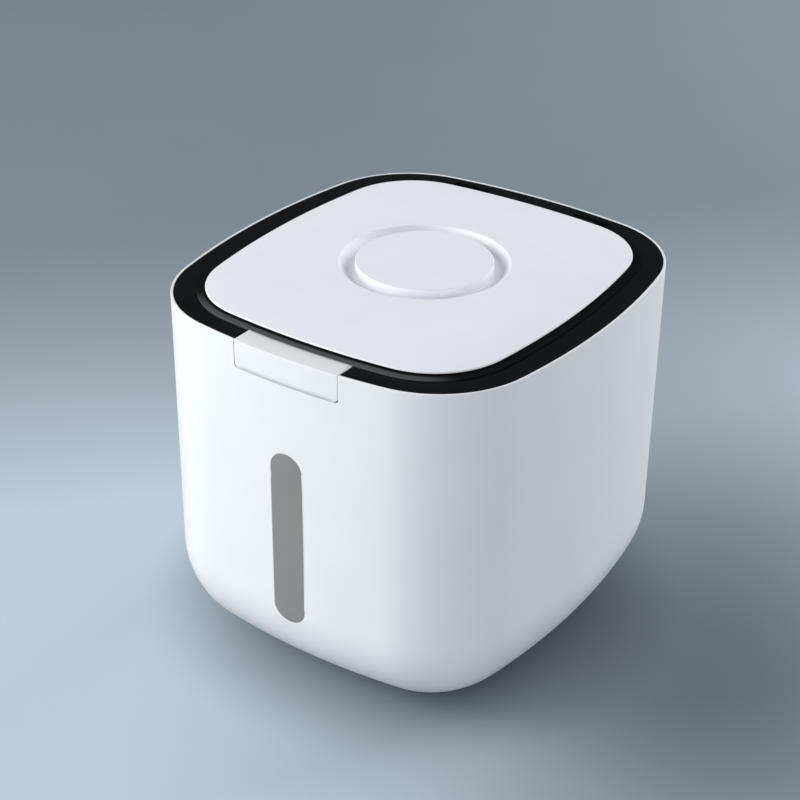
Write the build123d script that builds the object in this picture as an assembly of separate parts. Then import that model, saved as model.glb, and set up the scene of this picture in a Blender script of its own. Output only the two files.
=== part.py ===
from build123d import *
import os
from math import atan, atan2, cos, degrees, pi, sin, sqrt

# Rice storage container: a white tub with a black rim frame, a sprung lid hinged at the back and
# a push button latch at the front. Millimetres, +Z up, front towards -Y, origin under the middle
# of the base on the surface that it stands on.

# Tub
BIN_WIDTH = 253.0
BIN_DEPTH = 273.4
RIM_HEIGHT = 231.5
SIDE_BOW_RADIUS = 438.0
CORNER_RADIUS = 65.5
SIDE_LEAN = 0.4
BASE_CORNER = 6.1
WALL = 3.0
RIM_WALL = 1.6
RIM_EDGE_RADIUS = 0.7
LEDGE_DROP = 16.0

# Feet
FOOT_RADIUS = 9.0
FOOT_STAND = 1.2
FOOT_SINK = 1.2
FOOT_MARGIN_X = 8.1
FOOT_MARGIN_Y = 10.3
FOOT_EDGE = 0.4

# Window strip in the front wall
WINDOW_WIDTH = 22.5
WINDOW_LENGTH = 117.0
WINDOW_DROP = 62.0
WINDOW_FLANGE = 5.0
WINDOW_FLANGE_THICKNESS = 1.6
GASKET_THICKNESS = 0.8
GASKET_MARGIN = 1.2
SEAT_GAP = 0.05
WINDOW_GAP = 0.1

# Black rim frame
FIT_GAP = 0.15
RING_DROP = 0.3
RING_THICKNESS = 2.4
SKIRT_WALL = 1.8
COLLAR_RISE = 0.9
COLLAR_INSET = 0.8
COLLAR_WIDTH = 2.2
APRON_REACH = 5.1
APRON_STEP = 0.8
APRON_EDGE_RADIUS = 0.3
APRON_LIP_GAP = 0.2
LAND_DROP = 2.0
LAND_THICKNESS = 2.2
LAND_WIDTH = 12.8
THROAT_WALL = 2.2
THROAT_DEPTH = 24.0

# Snap beads that hold the frame in the tub
SNAP_WIDTH = 16.0
SNAP_HEIGHT = 3.0
SNAP_DROP = 12.0
SNAP_REACH = 0.7
SNAP_SIDE_SPACING = 110.0
SNAP_END_SPACING = 130.0

# Lid plate
LID_SIDE_MARGIN = 20.8
LID_END_MARGIN = 19.1
LID_BOW_RADIUS = 482.5
LID_CORNER_RADIUS = 50.5
LID_LIFT = 1.7
LID_EDGE = 1.2
LID_EDGE_RADIUS = 0.9
LID_CROWN = 3.0
LID_CROWN_CORNER = 8.5
LID_CROWN_STEPS = 3
LID_SKIN = 1.9
DISC_RADIUS = 41.8
DISC_RISE = 0.8
DISC_EDGE_RADIUS = 0.7
GROOVE_WIDTH = 10.3
GROOVE_DEPTH = 4.6
GROOVE_FLOOR = 1.6
GROOVE_LIP_RADIUS = 0.9
DISC_OFFSET_Y = 1.7

# Lid liner and seal
LINER_MARGIN = 1.5
LINER_FLANGE = 2.5
PLUG_GAP = 2.0
PLUG_DEPTH = 16.0
PLUG_WALL = 3.0
SEAL_HEIGHT = 4.4
SEAL_SINK = 1.5
SEAL_LIFT = 2.6
SEAL_BAND = 0.5
SEAL_LIP = 0.9
SEAL_GAP = 0.3

# Hinge
HINGE_BACK = 4.0
HINGE_SPACING = 90.0
HINGE_POCKET_LENGTH = 26.0
HINGE_LUG = 5.0
HINGE_POCKET_BACK = 5.4
HINGE_POCKET_GAP = 0.5
HINGE_BLOCK_FLOOR = 2.4
KNUCKLE_RADIUS = 2.0
KNUCKLE_LENGTH = 16.0
PIN_RADIUS = 1.25
PIN_SEAT_GAP = 0.02
PIN_RUN_GAP = 0.06
PIN_END = 0.5
LEAF_THICKNESS = 2.0
LEAF_END_GAP = 0.6
LEAF_LENGTH = 10.0
HINGE_WIRE = 0.6
HINGE_COIL_RADIUS = 1.75
HINGE_COIL_PITCH = 1.15
HINGE_COIL_TURNS = 5
HINGE_LEG_FRONT = 12.0
HINGE_LEG_BACK = 3.6

# Button
BUTTON_WIDTH = 72.0
BUTTON_HEIGHT = 17.2
BUTTON_CORNER = 4.0
BUTTON_NOTCH_CORNER = 2.4
BUTTON_GAP = 0.45
BUTTON_FRONT = 2.2
BUTTON_TOP = 2.0
BUTTON_CHEEK = 1.8
BUTTON_EDGE_RADIUS = 0.5
BUTTON_TRAVEL = 2.2
BUTTON_STOP_GAP = 0.7
TAB_REACH = 1.4
TAB_LENGTH = 6.0
TAB_HEIGHT = 5.0
TAB_LIFT = 1.2
TAB_GAP = 0.4

# Latch
HOOK_WIDTH = 16.0
HOOK_ARM = 2.5
HOOK_RISER = 2.0
HOOK_BASE_WIDTH = 28.0
HOOK_BASE_LENGTH = 10.0
HOOK_BASE_DROP = 6.0
HOOK_NOSE = 2.5
HOOK_NOSE_WIDTH = 12.0
HOOK_ENGAGE = 1.2
HOOK_ARM_GAP = 1.8
HOOK_STANDOFF = 2.6
HOOK_BOSS_SPACING = 20.0
CATCH_WIDTH = 18.0
CATCH_BASE_WIDTH = 30.0
CATCH_BASE_LENGTH = 9.0
CATCH_THICKNESS = 2.0
CATCH_WINDOW_TOP = 3.8
CATCH_BAR = 2.2
CATCH_CLEARANCE = 0.5
CATCH_SLOT_GAP = 1.4
CATCH_SET_BACK = 0.5

# Button cradle and its springs
CRADLE_GAP = 0.3
CRADLE_WALL = 1.8
CRADLE_SIDE_GAP = 0.5
CRADLE_FLANGE_DROP = 7.2
CRADLE_FLANGE_WIDTH = 9.0
CRADLE_BACK_GAP = 0.1
CRADLE_STOP_INNER = 17.0
CRADLE_STOP_OUTER = 33.0
CRADLE_STOP_TOP = 8.0
CRADLE_STOP_WALL = 1.6
CRADLE_SCREW_SPACING = 7.0
BUTTON_WIRE = 0.7
BUTTON_COIL_RADIUS = 3.2
BUTTON_COIL_TURNS = 6
BUTTON_COIL_SPACING = 50.0
BUTTON_COIL_DROP = 12.0
SPRING_PAD_RADIUS = 4.4
SPRING_PAD_DEPTH = 2.5
SPRING_POST_RADIUS = 2.3
SPRING_POST_LENGTH = 3.0
SPRING_SEAT_GAP = 0.1

# Freshness cup and its cap
CUP_MARGIN = 3.9
CUP_WALL = 1.8
CUP_TOP_RISE = 1.0
CUP_FLANGE = 5.0
CUP_FLANGE_THICKNESS = 1.6
CUP_GAP = 0.3
CUP_POST_INSET = 4.0
CUP_POST_WALL = 2.0
CAP_GAP = 0.4
CAP_PLATE = 1.8
CAP_SKIRT = 1.6
CAP_SKIRT_HEIGHT = 7.4
CAP_GRIP_MARGIN = 13.8
CAP_GRIP_WIDTH = 4.0
CAP_GRIP_DEPTH = 4.0
CAP_TURN = 40.0
CAP_SLOT_COUNT = 14
CAP_SLOT_LENGTH = 12.0
CAP_SLOT_WIDTH = 2.0
CAP_SLOT_MARGIN = 2.2
LUG_COUNT = 3
LUG_ANGLE = 14.0
LUG_REACH = 1.4
LUG_HEIGHT = 1.6
LUG_RISE = 5.4
LUG_GAP = 0.3
LUG_END_ANGLE = 1.0

# Screws
SCREW_RADIUS = 1.2
SCREW_HEAD_RADIUS = 2.5
SCREW_HEAD_HEIGHT = 1.4
SCREW_PILOT_GAP = 0.03
SCREW_HOLE_GAP = 0.3
SCREW_BOSS_RADIUS = 3.2
SCREW_DRIVE_RADIUS = 1.1
SCREW_DRIVE_DEPTH = 0.8
LID_SCREW_LENGTH = 12.0
LID_SCREW_MARGIN_X = 20.7
LID_SCREW_MARGIN_Y = 24.6
LID_SCREW_SIDE_MARGIN = 8.7
SHORT_SCREW_LENGTH = 4.0
CRADLE_SCREW_LENGTH = 6.0
HOOK_SCREW_LENGTH = 5.6
SCREW_TIP_GAP = 0.3

# Points along a spring's wire at which the gap between its turns is measured
GAP_SAMPLES = 400
GAP_SKIP = 4

# Plan sizes that follow from the sizes above
BASE_ROUNDING = CORNER_RADIUS - SIDE_LEAN - BASE_CORNER
FOOT_INSET = BASE_ROUNDING + SIDE_LEAN + FOOT_RADIUS
FOOT_SPACING_X = BIN_WIDTH - 2 * (FOOT_INSET + FOOT_MARGIN_X)
FOOT_SPACING_Y = BIN_DEPTH - 2 * (FOOT_INSET + FOOT_MARGIN_Y)
LID_WIDTH = BIN_WIDTH - 2 * LID_SIDE_MARGIN
LID_DEPTH = BIN_DEPTH - 2 * LID_END_MARGIN
LID_CROWN_MARGIN = LID_CORNER_RADIUS - LID_CROWN_CORNER
GROOVE_RADIUS = DISC_RADIUS + GROOVE_WIDTH
BUTTON_DEPTH = LID_END_MARGIN + COLLAR_INSET - BUTTON_TRAVEL - BUTTON_STOP_GAP
CUP_RADIUS = DISC_RADIUS - LID_SKIN - CUP_MARGIN
CUP_POST_RADIUS = CUP_RADIUS - CUP_POST_INSET
CAP_RADIUS = CUP_RADIUS - CUP_WALL - CAP_GAP
CAP_GRIP_LENGTH = 2 * (CAP_RADIUS - CAP_GRIP_MARGIN)
CAP_SLOT_RADIUS = CAP_RADIUS - CAP_SKIRT - CAP_SLOT_MARGIN - CAP_SLOT_LENGTH / 2

# Heights that follow from the sizes above
BASE_Z = FOOT_STAND
RING_TOP = RIM_HEIGHT - RING_DROP
RING_UNDER = RING_TOP - RING_THICKNESS
COLLAR_TOP = RIM_HEIGHT + COLLAR_RISE
APRON_TOP = RING_TOP + APRON_STEP
LAND_TOP = RIM_HEIGHT - LAND_DROP
LAND_UNDER = LAND_TOP - LAND_THICKNESS
THROAT_BOTTOM = RIM_HEIGHT - THROAT_DEPTH
LEDGE_Z = RIM_HEIGHT - LEDGE_DROP
LID_UNDER = RIM_HEIGHT + LID_LIFT
LID_EDGE_TOP = LID_UNDER + LID_EDGE
LID_TOP = LID_EDGE_TOP + LID_CROWN
FLANGE_UNDER = LID_UNDER - LINER_FLANGE
PLUG_BOTTOM = RIM_HEIGHT - PLUG_DEPTH
TRAY_FLOOR = PLUG_BOTTOM + PLUG_WALL
LEAF_UNDER = FLANGE_UNDER - LEAF_THICKNESS
CATCH_UNDER = FLANGE_UNDER - CATCH_THICKNESS
HINGE_Z = FLANGE_UNDER - LEAF_THICKNESS / 2
HINGE_Y = LID_DEPTH / 2 + HINGE_BACK
BUTTON_BOTTOM = RIM_HEIGHT - BUTTON_HEIGHT

# Insets of the lid's plan that follow from the sizes above
COLLAR_INNER = COLLAR_INSET + COLLAR_WIDTH
THROAT_OUTER = COLLAR_INNER + LAND_WIDTH
THROAT_INNER = THROAT_OUTER + THROAT_WALL
FLANGE_INSET = COLLAR_INNER + LINER_MARGIN
PLUG_INSET = THROAT_INNER + PLUG_GAP
TRAY_INSET = PLUG_INSET + PLUG_WALL

# Front to back places that follow from the sizes above
CATCH_FRONT = -LID_DEPTH / 2 + FLANGE_INSET + CATCH_SET_BACK
CATCH_BACK = CATCH_FRONT + CATCH_THICKNESS
CATCH_WINDOW_Z = CATCH_UNDER - CATCH_WINDOW_TOP
CATCH_WINDOW_FOOT = CATCH_WINDOW_Z - HOOK_NOSE - 2 * CATCH_CLEARANCE
CATCH_FOOT = CATCH_WINDOW_FOOT - CATCH_BAR
HOOK_ARM_TOP = CATCH_FOOT - HOOK_ARM_GAP
HOOK_BASE_TOP = RIM_HEIGHT - HOOK_BASE_DROP
BUTTON_BACK = -BIN_DEPTH / 2 + BUTTON_DEPTH
CRADLE_FLOOR = BUTTON_BOTTOM - CRADLE_GAP
CRADLE_FLANGE = RIM_HEIGHT - CRADLE_FLANGE_DROP
CRADLE_BACK = -LID_DEPTH / 2 + COLLAR_INSET - CRADLE_BACK_GAP
CRADLE_STOP = CRADLE_BACK - CRADLE_STOP_WALL
CRADLE_INNER = BUTTON_WIDTH / 2 + TAB_REACH + CRADLE_SIDE_GAP
CRADLE_OUTER = CRADLE_INNER + CRADLE_WALL
CRADLE_SPAN = CRADLE_OUTER + CRADLE_FLANGE_WIDTH


def side_sag(distance):
    """How far the bowed front wall has drawn back at a distance from its middle."""
    return SIDE_BOW_RADIUS - sqrt(SIDE_BOW_RADIUS**2 - distance**2)


CRADLE_FRONT = -BIN_DEPTH / 2 + RIM_WALL + FIT_GAP + SKIRT_WALL + side_sag(CRADLE_SPAN) + TAB_GAP
TAB_FRONT = -BIN_DEPTH / 2 + RIM_WALL + FIT_GAP + SKIRT_WALL + side_sag(CRADLE_INNER) + TAB_GAP
SPRING_FRONT = -BIN_DEPTH / 2 + BUTTON_FRONT + SPRING_PAD_DEPTH
CRADLE_SCREW_Y = (CRADLE_FRONT + CRADLE_BACK) / 2


def bowed_plan(width, depth, bow_radius, corner_radius, inset=0.0):
    """Plan with four bowed sides and round corners, all drawn in by the inset."""
    half_x = width / 2 - inset
    half_y = depth / 2 - inset
    bow = bow_radius - inset
    corner = corner_radius - inset
    pull_x = bow - half_x
    pull_y = bow - half_y
    reach = bow - corner
    slope = pull_x / pull_y
    shift = (pull_x**2 - pull_y**2) / (2 * pull_y) + pull_y
    square = 1 + slope**2
    linear = slope * shift
    corner_x = (sqrt(linear**2 - square * (shift**2 - reach**2)) - linear) / square
    corner_y = slope * corner_x + shift - pull_y
    turn_x = atan2(corner_y, corner_x + pull_x)
    turn_y = atan2(corner_x, corner_y + pull_y)
    middle = (turn_x + pi / 2 - turn_y) / 2
    on_side = (bow * cos(turn_x) - pull_x, bow * sin(turn_x))
    on_corner = (corner_x + corner * cos(middle), corner_y + corner * sin(middle))
    on_end = (bow * sin(turn_y), bow * cos(turn_y) - pull_y)

    def mirrored(point, sign_x, sign_y):
        return (point[0] * sign_x, point[1] * sign_y)

    arcs = [
        ThreePointArc(mirrored(on_side, 1, -1), (half_x, 0), on_side),
        ThreePointArc(on_side, on_corner, on_end),
        ThreePointArc(on_end, (0, half_y), mirrored(on_end, -1, 1)),
        ThreePointArc(mirrored(on_end, -1, 1), mirrored(on_corner, -1, 1), mirrored(on_side, -1, 1)),
        ThreePointArc(mirrored(on_side, -1, 1), (-half_x, 0), mirrored(on_side, -1, -1)),
        ThreePointArc(mirrored(on_side, -1, -1), mirrored(on_corner, -1, -1), mirrored(on_end, -1, -1)),
        ThreePointArc(mirrored(on_end, -1, -1), (0, -half_y), mirrored(on_end, 1, -1)),
        ThreePointArc(mirrored(on_end, 1, -1), mirrored(on_corner, 1, -1), mirrored(on_side, 1, -1)),
    ]
    return make_face(arcs)


def bin_plan(inset=0.0):
    """Plan of the tub at its rim."""
    return bowed_plan(BIN_WIDTH, BIN_DEPTH, SIDE_BOW_RADIUS, CORNER_RADIUS, inset)


def lid_plan(inset=0.0):
    """Plan of the lid plate."""
    return bowed_plan(LID_WIDTH, LID_DEPTH, LID_BOW_RADIUS, LID_CORNER_RADIUS, inset)


def upright(plan, low, high):
    """Straight prism of a plan between two heights."""
    return extrude(Pos(0, 0, low) * plan, amount=high - low)


def block(x0, x1, y0, y1, z0, z1):
    """Box between two corners."""
    middle = Pos((x0 + x1) / 2, (y0 + y1) / 2, (z0 + z1) / 2)
    return middle * Box(abs(x1 - x0), abs(y1 - y0), abs(z1 - z0))


def round_bar(x, y, low, high, radius):
    """Upright cylinder between two heights."""
    return Pos(x, y, (low + high) / 2) * Cylinder(radius, high - low)


def bar_along_x(x0, x1, y, z, radius):
    """Cylinder along X."""
    return Pos((x0 + x1) / 2, y, z) * Rot(0, 90, 0) * Cylinder(radius, abs(x1 - x0))


def bar_along_y(x, y0, y1, z, radius):
    """Cylinder along Y."""
    return Pos(x, (y0 + y1) / 2, z) * Rot(90, 0, 0) * Cylinder(radius, abs(y1 - y0))


def tub(inset=0.0):
    """Leaning tub with its base rounding, drawn in by the inset on the walls and the base."""
    lean = degrees(atan(SIDE_LEAN / (RIM_HEIGHT - BASE_Z)))
    height = RIM_HEIGHT - BASE_Z - inset
    body = extrude(Pos(0, 0, RIM_HEIGHT) * bin_plan(inset), amount=height, dir=(0, 0, -1), taper=lean)
    return fillet(body.edges().group_by(Axis.Z)[0], BASE_ROUNDING - inset)


def front_stadium(margin):
    """Slot-shaped bar through the front wall, wider than the window by the margin all round."""
    radius = WINDOW_WIDTH / 2 + margin
    middle = RIM_HEIGHT - WINDOW_DROP - WINDOW_LENGTH / 2
    straight = WINDOW_LENGTH - WINDOW_WIDTH
    face = Plane.XZ * Pos(0, middle) * SlotCenterToCenter(straight, 2 * radius, rotation=90)
    return extrude(face, amount=BIN_DEPTH)


def button_front(margin, corner):
    """Bar through the front wall with the button's front outline, grown by the margin."""
    width = BUTTON_WIDTH + 2 * margin
    height = BUTTON_HEIGHT + margin + BUTTON_HEIGHT
    low = BUTTON_BOTTOM - margin
    face = Rectangle(width, height)
    face = fillet(face.vertices().group_by(Axis.Y)[0], corner)
    return extrude(Plane.XZ * Pos(0, low + height / 2) * face, amount=BIN_DEPTH)


def screw(length):
    """Screw pointing up from the origin, with its head below."""
    head = round_bar(0, 0, -SCREW_HEAD_HEIGHT, 0, SCREW_HEAD_RADIUS)
    shank = round_bar(0, 0, 0, length, SCREW_RADIUS)
    tip_edge = shank.edges().group_by(Axis.Z)[-1]
    shank = chamfer(tip_edge, SCREW_RADIUS / 2)
    drive = RegularPolygon(SCREW_DRIVE_RADIUS, 6)
    return head + shank - upright(drive, -SCREW_HEAD_HEIGHT, SCREW_DRIVE_DEPTH - SCREW_HEAD_HEIGHT)


def screws_at(places, height, length):
    """Group of separate screws whose heads seat at one height."""
    return Compound(children=[Pos(x, y, height) * screw(length) for x, y in places])


def holes_at(places, low, high, radius):
    """Upright round holes at several places."""
    return [round_bar(x, y, low, high, radius) for x, y in places]


def four_places(spacing_x, spacing_y):
    """Corners of a rectangle about the origin."""
    return [(sx * spacing_x / 2, sy * spacing_y / 2) for sx in (-1, 1) for sy in (-1, 1)]


def snap_blocks(extra):
    """Boxes that mark where the snap beads are, grown by the extra."""
    half = SNAP_WIDTH / 2 + extra
    low = RIM_HEIGHT - SNAP_DROP - extra
    high = low + SNAP_HEIGHT + 2 * extra
    blocks = []
    for place in (-SNAP_SIDE_SPACING / 2, SNAP_SIDE_SPACING / 2):
        blocks.append(block(-BIN_WIDTH, BIN_WIDTH, place - half, place + half, low, high))
    for place in (-SNAP_END_SPACING / 2, SNAP_END_SPACING / 2):
        blocks.append(block(place - half, place + half, -BIN_DEPTH, BIN_DEPTH, low, high))
    return Part() + blocks


def snap_band(outer, inner, extra):
    """Short bands that follow the wall at the snap places."""
    low = RIM_HEIGHT - SNAP_DROP - extra
    high = low + SNAP_HEIGHT + 2 * extra
    return (upright(bin_plan(outer), low, high) - upright(bin_plan(inner), low, high)) & snap_blocks(extra)


def coil(start, axis, side, radius, pitch, turns, lead, tail):
    """One unbroken wire path: a lead, quarter turns of helix as pairs of arcs, and a tail."""
    along = Vector(*axis)
    across = Vector(*side)
    upward = along.cross(across)
    origin = Vector(*start)
    rate = pitch / (2 * pi)

    def point(angle):
        turned = across * (radius * cos(angle)) + upward * (radius * sin(angle))
        return origin + turned + along * (rate * angle)

    def heading(angle):
        return (across * (-radius * sin(angle)) + upward * (radius * cos(angle)) + along * rate).normalized()

    edges = []
    if lead:
        edges.append(Edge.make_line(point(0) - heading(0) * lead, point(0)))
    for quarter in range(4 * turns):
        angle_a = quarter * pi / 2
        angle_b = angle_a + pi / 2
        p, q = point(angle_a), point(angle_b)
        t, u = heading(angle_a), heading(angle_b)
        chord = q - p
        both = t + u
        spread = 2 * (1 - t.dot(u))
        step = (sqrt(chord.dot(both) ** 2 + spread * chord.dot(chord)) - chord.dot(both)) / spread
        near = p + t * step
        far = q - u * step
        joint = (near + far) * 0.5
        edges.append(Edge.make_tangent_arc(p, t, joint))
        edges.append(Edge.make_tangent_arc(joint, (far - near).normalized(), q))
    last = 2 * pi * turns
    if tail:
        edges.append(Edge.make_line(point(last), point(last) + heading(last) * tail))
    return Wire(edges)


def wire_spring(path, wire, name):
    """Sweeps the wire along its path and prints the least gap between its turns."""
    samples = [path @ (index / GAP_SAMPLES) for index in range(GAP_SAMPLES + 1)]
    spacing = path.length / GAP_SAMPLES
    skip = int(GAP_SKIP * wire / spacing) + 1
    gaps = [
        (samples[i] - samples[j]).length - wire
        for i in range(len(samples))
        for j in range(i + skip, len(samples))
    ]
    print(name, "least gap between turns, mm", round(min(gaps), 2))
    print(name, "wire length, mm", round(path.length, 1))
    section = Plane(origin=path @ 0, z_dir=path % 0) * Circle(wire / 2)
    return sweep(section, path=path)


def make_outer_shell():
    """White tub with the rim pocket, button notch, window slot, snap pockets and foot seats."""
    shell = tub() - tub(WALL)
    shell -= upright(bin_plan(RIM_WALL), LEDGE_Z, RIM_HEIGHT)
    rim_edges = shell.edges().group_by(Axis.Z)[-1]
    shell = fillet(rim_edges, RIM_EDGE_RADIUS)
    shell -= button_front(BUTTON_GAP, BUTTON_NOTCH_CORNER)
    shell -= front_stadium(0)
    shell -= snap_band(RIM_WALL - SNAP_REACH - FIT_GAP, RIM_WALL + FIT_GAP, FIT_GAP)
    for x, y in four_places(FOOT_SPACING_X, FOOT_SPACING_Y):
        shell -= round_bar(x, y, BASE_Z, BASE_Z + FOOT_SINK, FOOT_RADIUS + FIT_GAP)
    return shell


def make_foot(x, y):
    """Soft pad sunk in the base."""
    pad = round_bar(x, y, 0, BASE_Z + FOOT_SINK, FOOT_RADIUS)
    return fillet(pad.edges().group_by(Axis.Z)[0], FOOT_EDGE)


def make_viewing_window():
    """Pane flush with the front wall, with a flange inside."""
    flange_start = WALL + GASKET_THICKNESS
    flange_end = flange_start + WINDOW_FLANGE_THICKNESS
    inside = tub(flange_end)
    pane = (tub() - inside) & front_stadium(-WINDOW_GAP)
    flange = (tub(flange_start) - inside) & front_stadium(WINDOW_FLANGE)
    return pane + flange


def make_window_gasket():
    """Soft loop between the wall and the window's flange."""
    band = tub(WALL + SEAT_GAP) - tub(WALL + GASKET_THICKNESS - SEAT_GAP)
    return (band & front_stadium(WINDOW_FLANGE)) - front_stadium(GASKET_MARGIN)


def hinge_places():
    """Middle of each hinge and the side that its spring is on."""
    return [(-HINGE_SPACING / 2, -1), (HINGE_SPACING / 2, 1)]


def make_rim_frame():
    """Black ring, sloped apron, land and throat, with seats for hinge, latch and cradle."""
    frame = upright(bin_plan(RIM_WALL + FIT_GAP), LEDGE_Z, RING_TOP)
    frame -= upright(bin_plan(RIM_WALL + FIT_GAP + SKIRT_WALL), LEDGE_Z, RING_UNDER)
    frame += upright(lid_plan(COLLAR_INSET), LAND_UNDER, COLLAR_TOP)
    apron = upright(lid_plan(-APRON_REACH), RING_UNDER, APRON_TOP)
    slope_foot = Pos(0, 0, APRON_TOP) * lid_plan(-APRON_REACH)
    slope_head = Pos(0, 0, COLLAR_TOP) * lid_plan(COLLAR_INSET)
    apron += loft([slope_foot, slope_head])
    apron_edge = apron.edges().filter_by(lambda e: abs(e.center().Z - APRON_TOP) < SEAT_GAP)
    frame += fillet(apron_edge, APRON_EDGE_RADIUS)
    frame -= upright(lid_plan(COLLAR_INNER), LAND_TOP, COLLAR_TOP)
    frame += upright(lid_plan(THROAT_OUTER), THROAT_BOTTOM, LAND_TOP)
    frame -= upright(lid_plan(THROAT_INNER), THROAT_BOTTOM, COLLAR_TOP)
    frame += snap_band(RIM_WALL + FIT_GAP - SNAP_REACH, RIM_WALL + FIT_GAP + SKIRT_WALL, 0)

    button_room = block(
        -BUTTON_WIDTH / 2 - BUTTON_GAP,
        BUTTON_WIDTH / 2 + BUTTON_GAP,
        -BIN_DEPTH,
        -LID_DEPTH / 4,
        LEDGE_Z,
        RIM_HEIGHT + APRON_LIP_GAP,
    )
    frame -= button_room - upright(lid_plan(COLLAR_INSET), LEDGE_Z, COLLAR_TOP)
    catch_half = CATCH_BASE_WIDTH / 2 + CATCH_SLOT_GAP
    catch_end = CATCH_FRONT + CATCH_BASE_LENGTH + CATCH_SLOT_GAP
    frame -= block(-catch_half, catch_half, CATCH_FRONT - CATCH_SLOT_GAP, catch_end, LAND_UNDER, LAND_TOP)

    for x, y in cradle_screw_places():
        boss = round_bar(x, y, CRADLE_FLANGE, RING_UNDER, SCREW_BOSS_RADIUS)
        frame += boss
        pilot_top = CRADLE_FLANGE + CRADLE_SCREW_LENGTH - CRADLE_WALL + SCREW_TIP_GAP
        frame -= round_bar(x, y, CRADLE_FLANGE, pilot_top, SCREW_RADIUS + SCREW_PILOT_GAP)

    pocket_floor = HINGE_Z - KNUCKLE_RADIUS - HINGE_POCKET_GAP
    block_under = pocket_floor - HINGE_BLOCK_FLOOR
    half = HINGE_POCKET_LENGTH / 2
    collar_rear = LID_DEPTH / 2 - COLLAR_INSET
    for middle, _ in hinge_places():
        low_x = middle - half - HINGE_LUG
        high_x = middle + half + HINGE_LUG
        back = HINGE_Y + HINGE_POCKET_BACK
        block_back = back + HINGE_BLOCK_FLOOR
        frame += block(low_x, high_x, collar_rear - COLLAR_WIDTH, block_back, block_under, RING_UNDER)
        lugs = bar_along_x(low_x, high_x, HINGE_Y, HINGE_Z, KNUCKLE_RADIUS)
        lug_foot_front = HINGE_Y - KNUCKLE_RADIUS
        lugs += block(low_x, high_x, lug_foot_front, HINGE_Y + KNUCKLE_RADIUS, RING_UNDER, HINGE_Z)
        frame += lugs
        land_front = LID_DEPTH / 2 - THROAT_OUTER
        frame -= block(middle - half, middle + half, land_front, back, pocket_floor, COLLAR_TOP)
        frame -= bar_along_x(low_x, high_x, HINGE_Y, HINGE_Z, PIN_RADIUS + PIN_SEAT_GAP)
    return frame


def cradle_screw_places():
    """Screws of the cradle, two on each side of the button."""
    across = CRADLE_OUTER + CRADLE_FLANGE_WIDTH / 2
    offset = CRADLE_SCREW_SPACING / 2
    return [(sx * across, CRADLE_SCREW_Y + sy * offset) for sx in (-1, 1) for sy in (-1, 1)]


def make_button_cradle():
    """Tray under the button, hung from the ring by two flanges."""
    floor_under = CRADLE_FLOOR - CRADLE_WALL
    flange_under = CRADLE_FLANGE - CRADLE_WALL
    cradle = block(-CRADLE_OUTER, CRADLE_OUTER, CRADLE_FRONT, CRADLE_BACK, floor_under, CRADLE_FLOOR)
    for side in (-1, 1):
        inner = side * CRADLE_INNER
        outer = side * CRADLE_OUTER
        cradle += block(inner, outer, CRADLE_FRONT, CRADLE_BACK, floor_under, CRADLE_FLANGE)
        cradle += block(inner, side * CRADLE_SPAN, CRADLE_FRONT, CRADLE_BACK, flange_under, CRADLE_FLANGE)
        stop_top = RIM_HEIGHT - CRADLE_STOP_TOP
        stop_inner = side * CRADLE_STOP_INNER
        stop_outer = side * CRADLE_STOP_OUTER
        cradle += block(stop_inner, stop_outer, CRADLE_STOP, CRADLE_BACK, CRADLE_FLOOR, stop_top)
        post_x = side * BUTTON_COIL_SPACING / 2
        post_z = RIM_HEIGHT - BUTTON_COIL_DROP
        post_front = CRADLE_STOP - SPRING_POST_LENGTH
        cradle += bar_along_y(post_x, post_front, CRADLE_STOP, post_z, SPRING_POST_RADIUS)
    for hole in holes_at(cradle_screw_places(), flange_under, CRADLE_FLANGE, SCREW_RADIUS + SCREW_HOLE_GAP):
        cradle -= hole
    return cradle


def make_button_spring(side):
    """Return spring between the button's pad and the cradle's stop."""
    length = CRADLE_STOP - SPRING_FRONT - BUTTON_WIRE - 2 * SPRING_SEAT_GAP
    start = (
        side * BUTTON_COIL_SPACING / 2,
        SPRING_FRONT + SPRING_SEAT_GAP + BUTTON_WIRE / 2,
        RIM_HEIGHT - BUTTON_COIL_DROP,
    )
    pitch = length / BUTTON_COIL_TURNS
    path = coil(start, (0, 1, 0), (1, 0, 0), BUTTON_COIL_RADIUS, pitch, BUTTON_COIL_TURNS, 0, 0)
    return wire_spring(path, BUTTON_WIRE, "button spring")


def hook_screw_places():
    """Screws that hold the hook to the button."""
    y = BUTTON_BACK - HOOK_STANDOFF - HOOK_BASE_LENGTH / 2
    return [(-HOOK_BOSS_SPACING / 2, y), (HOOK_BOSS_SPACING / 2, y)]


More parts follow.
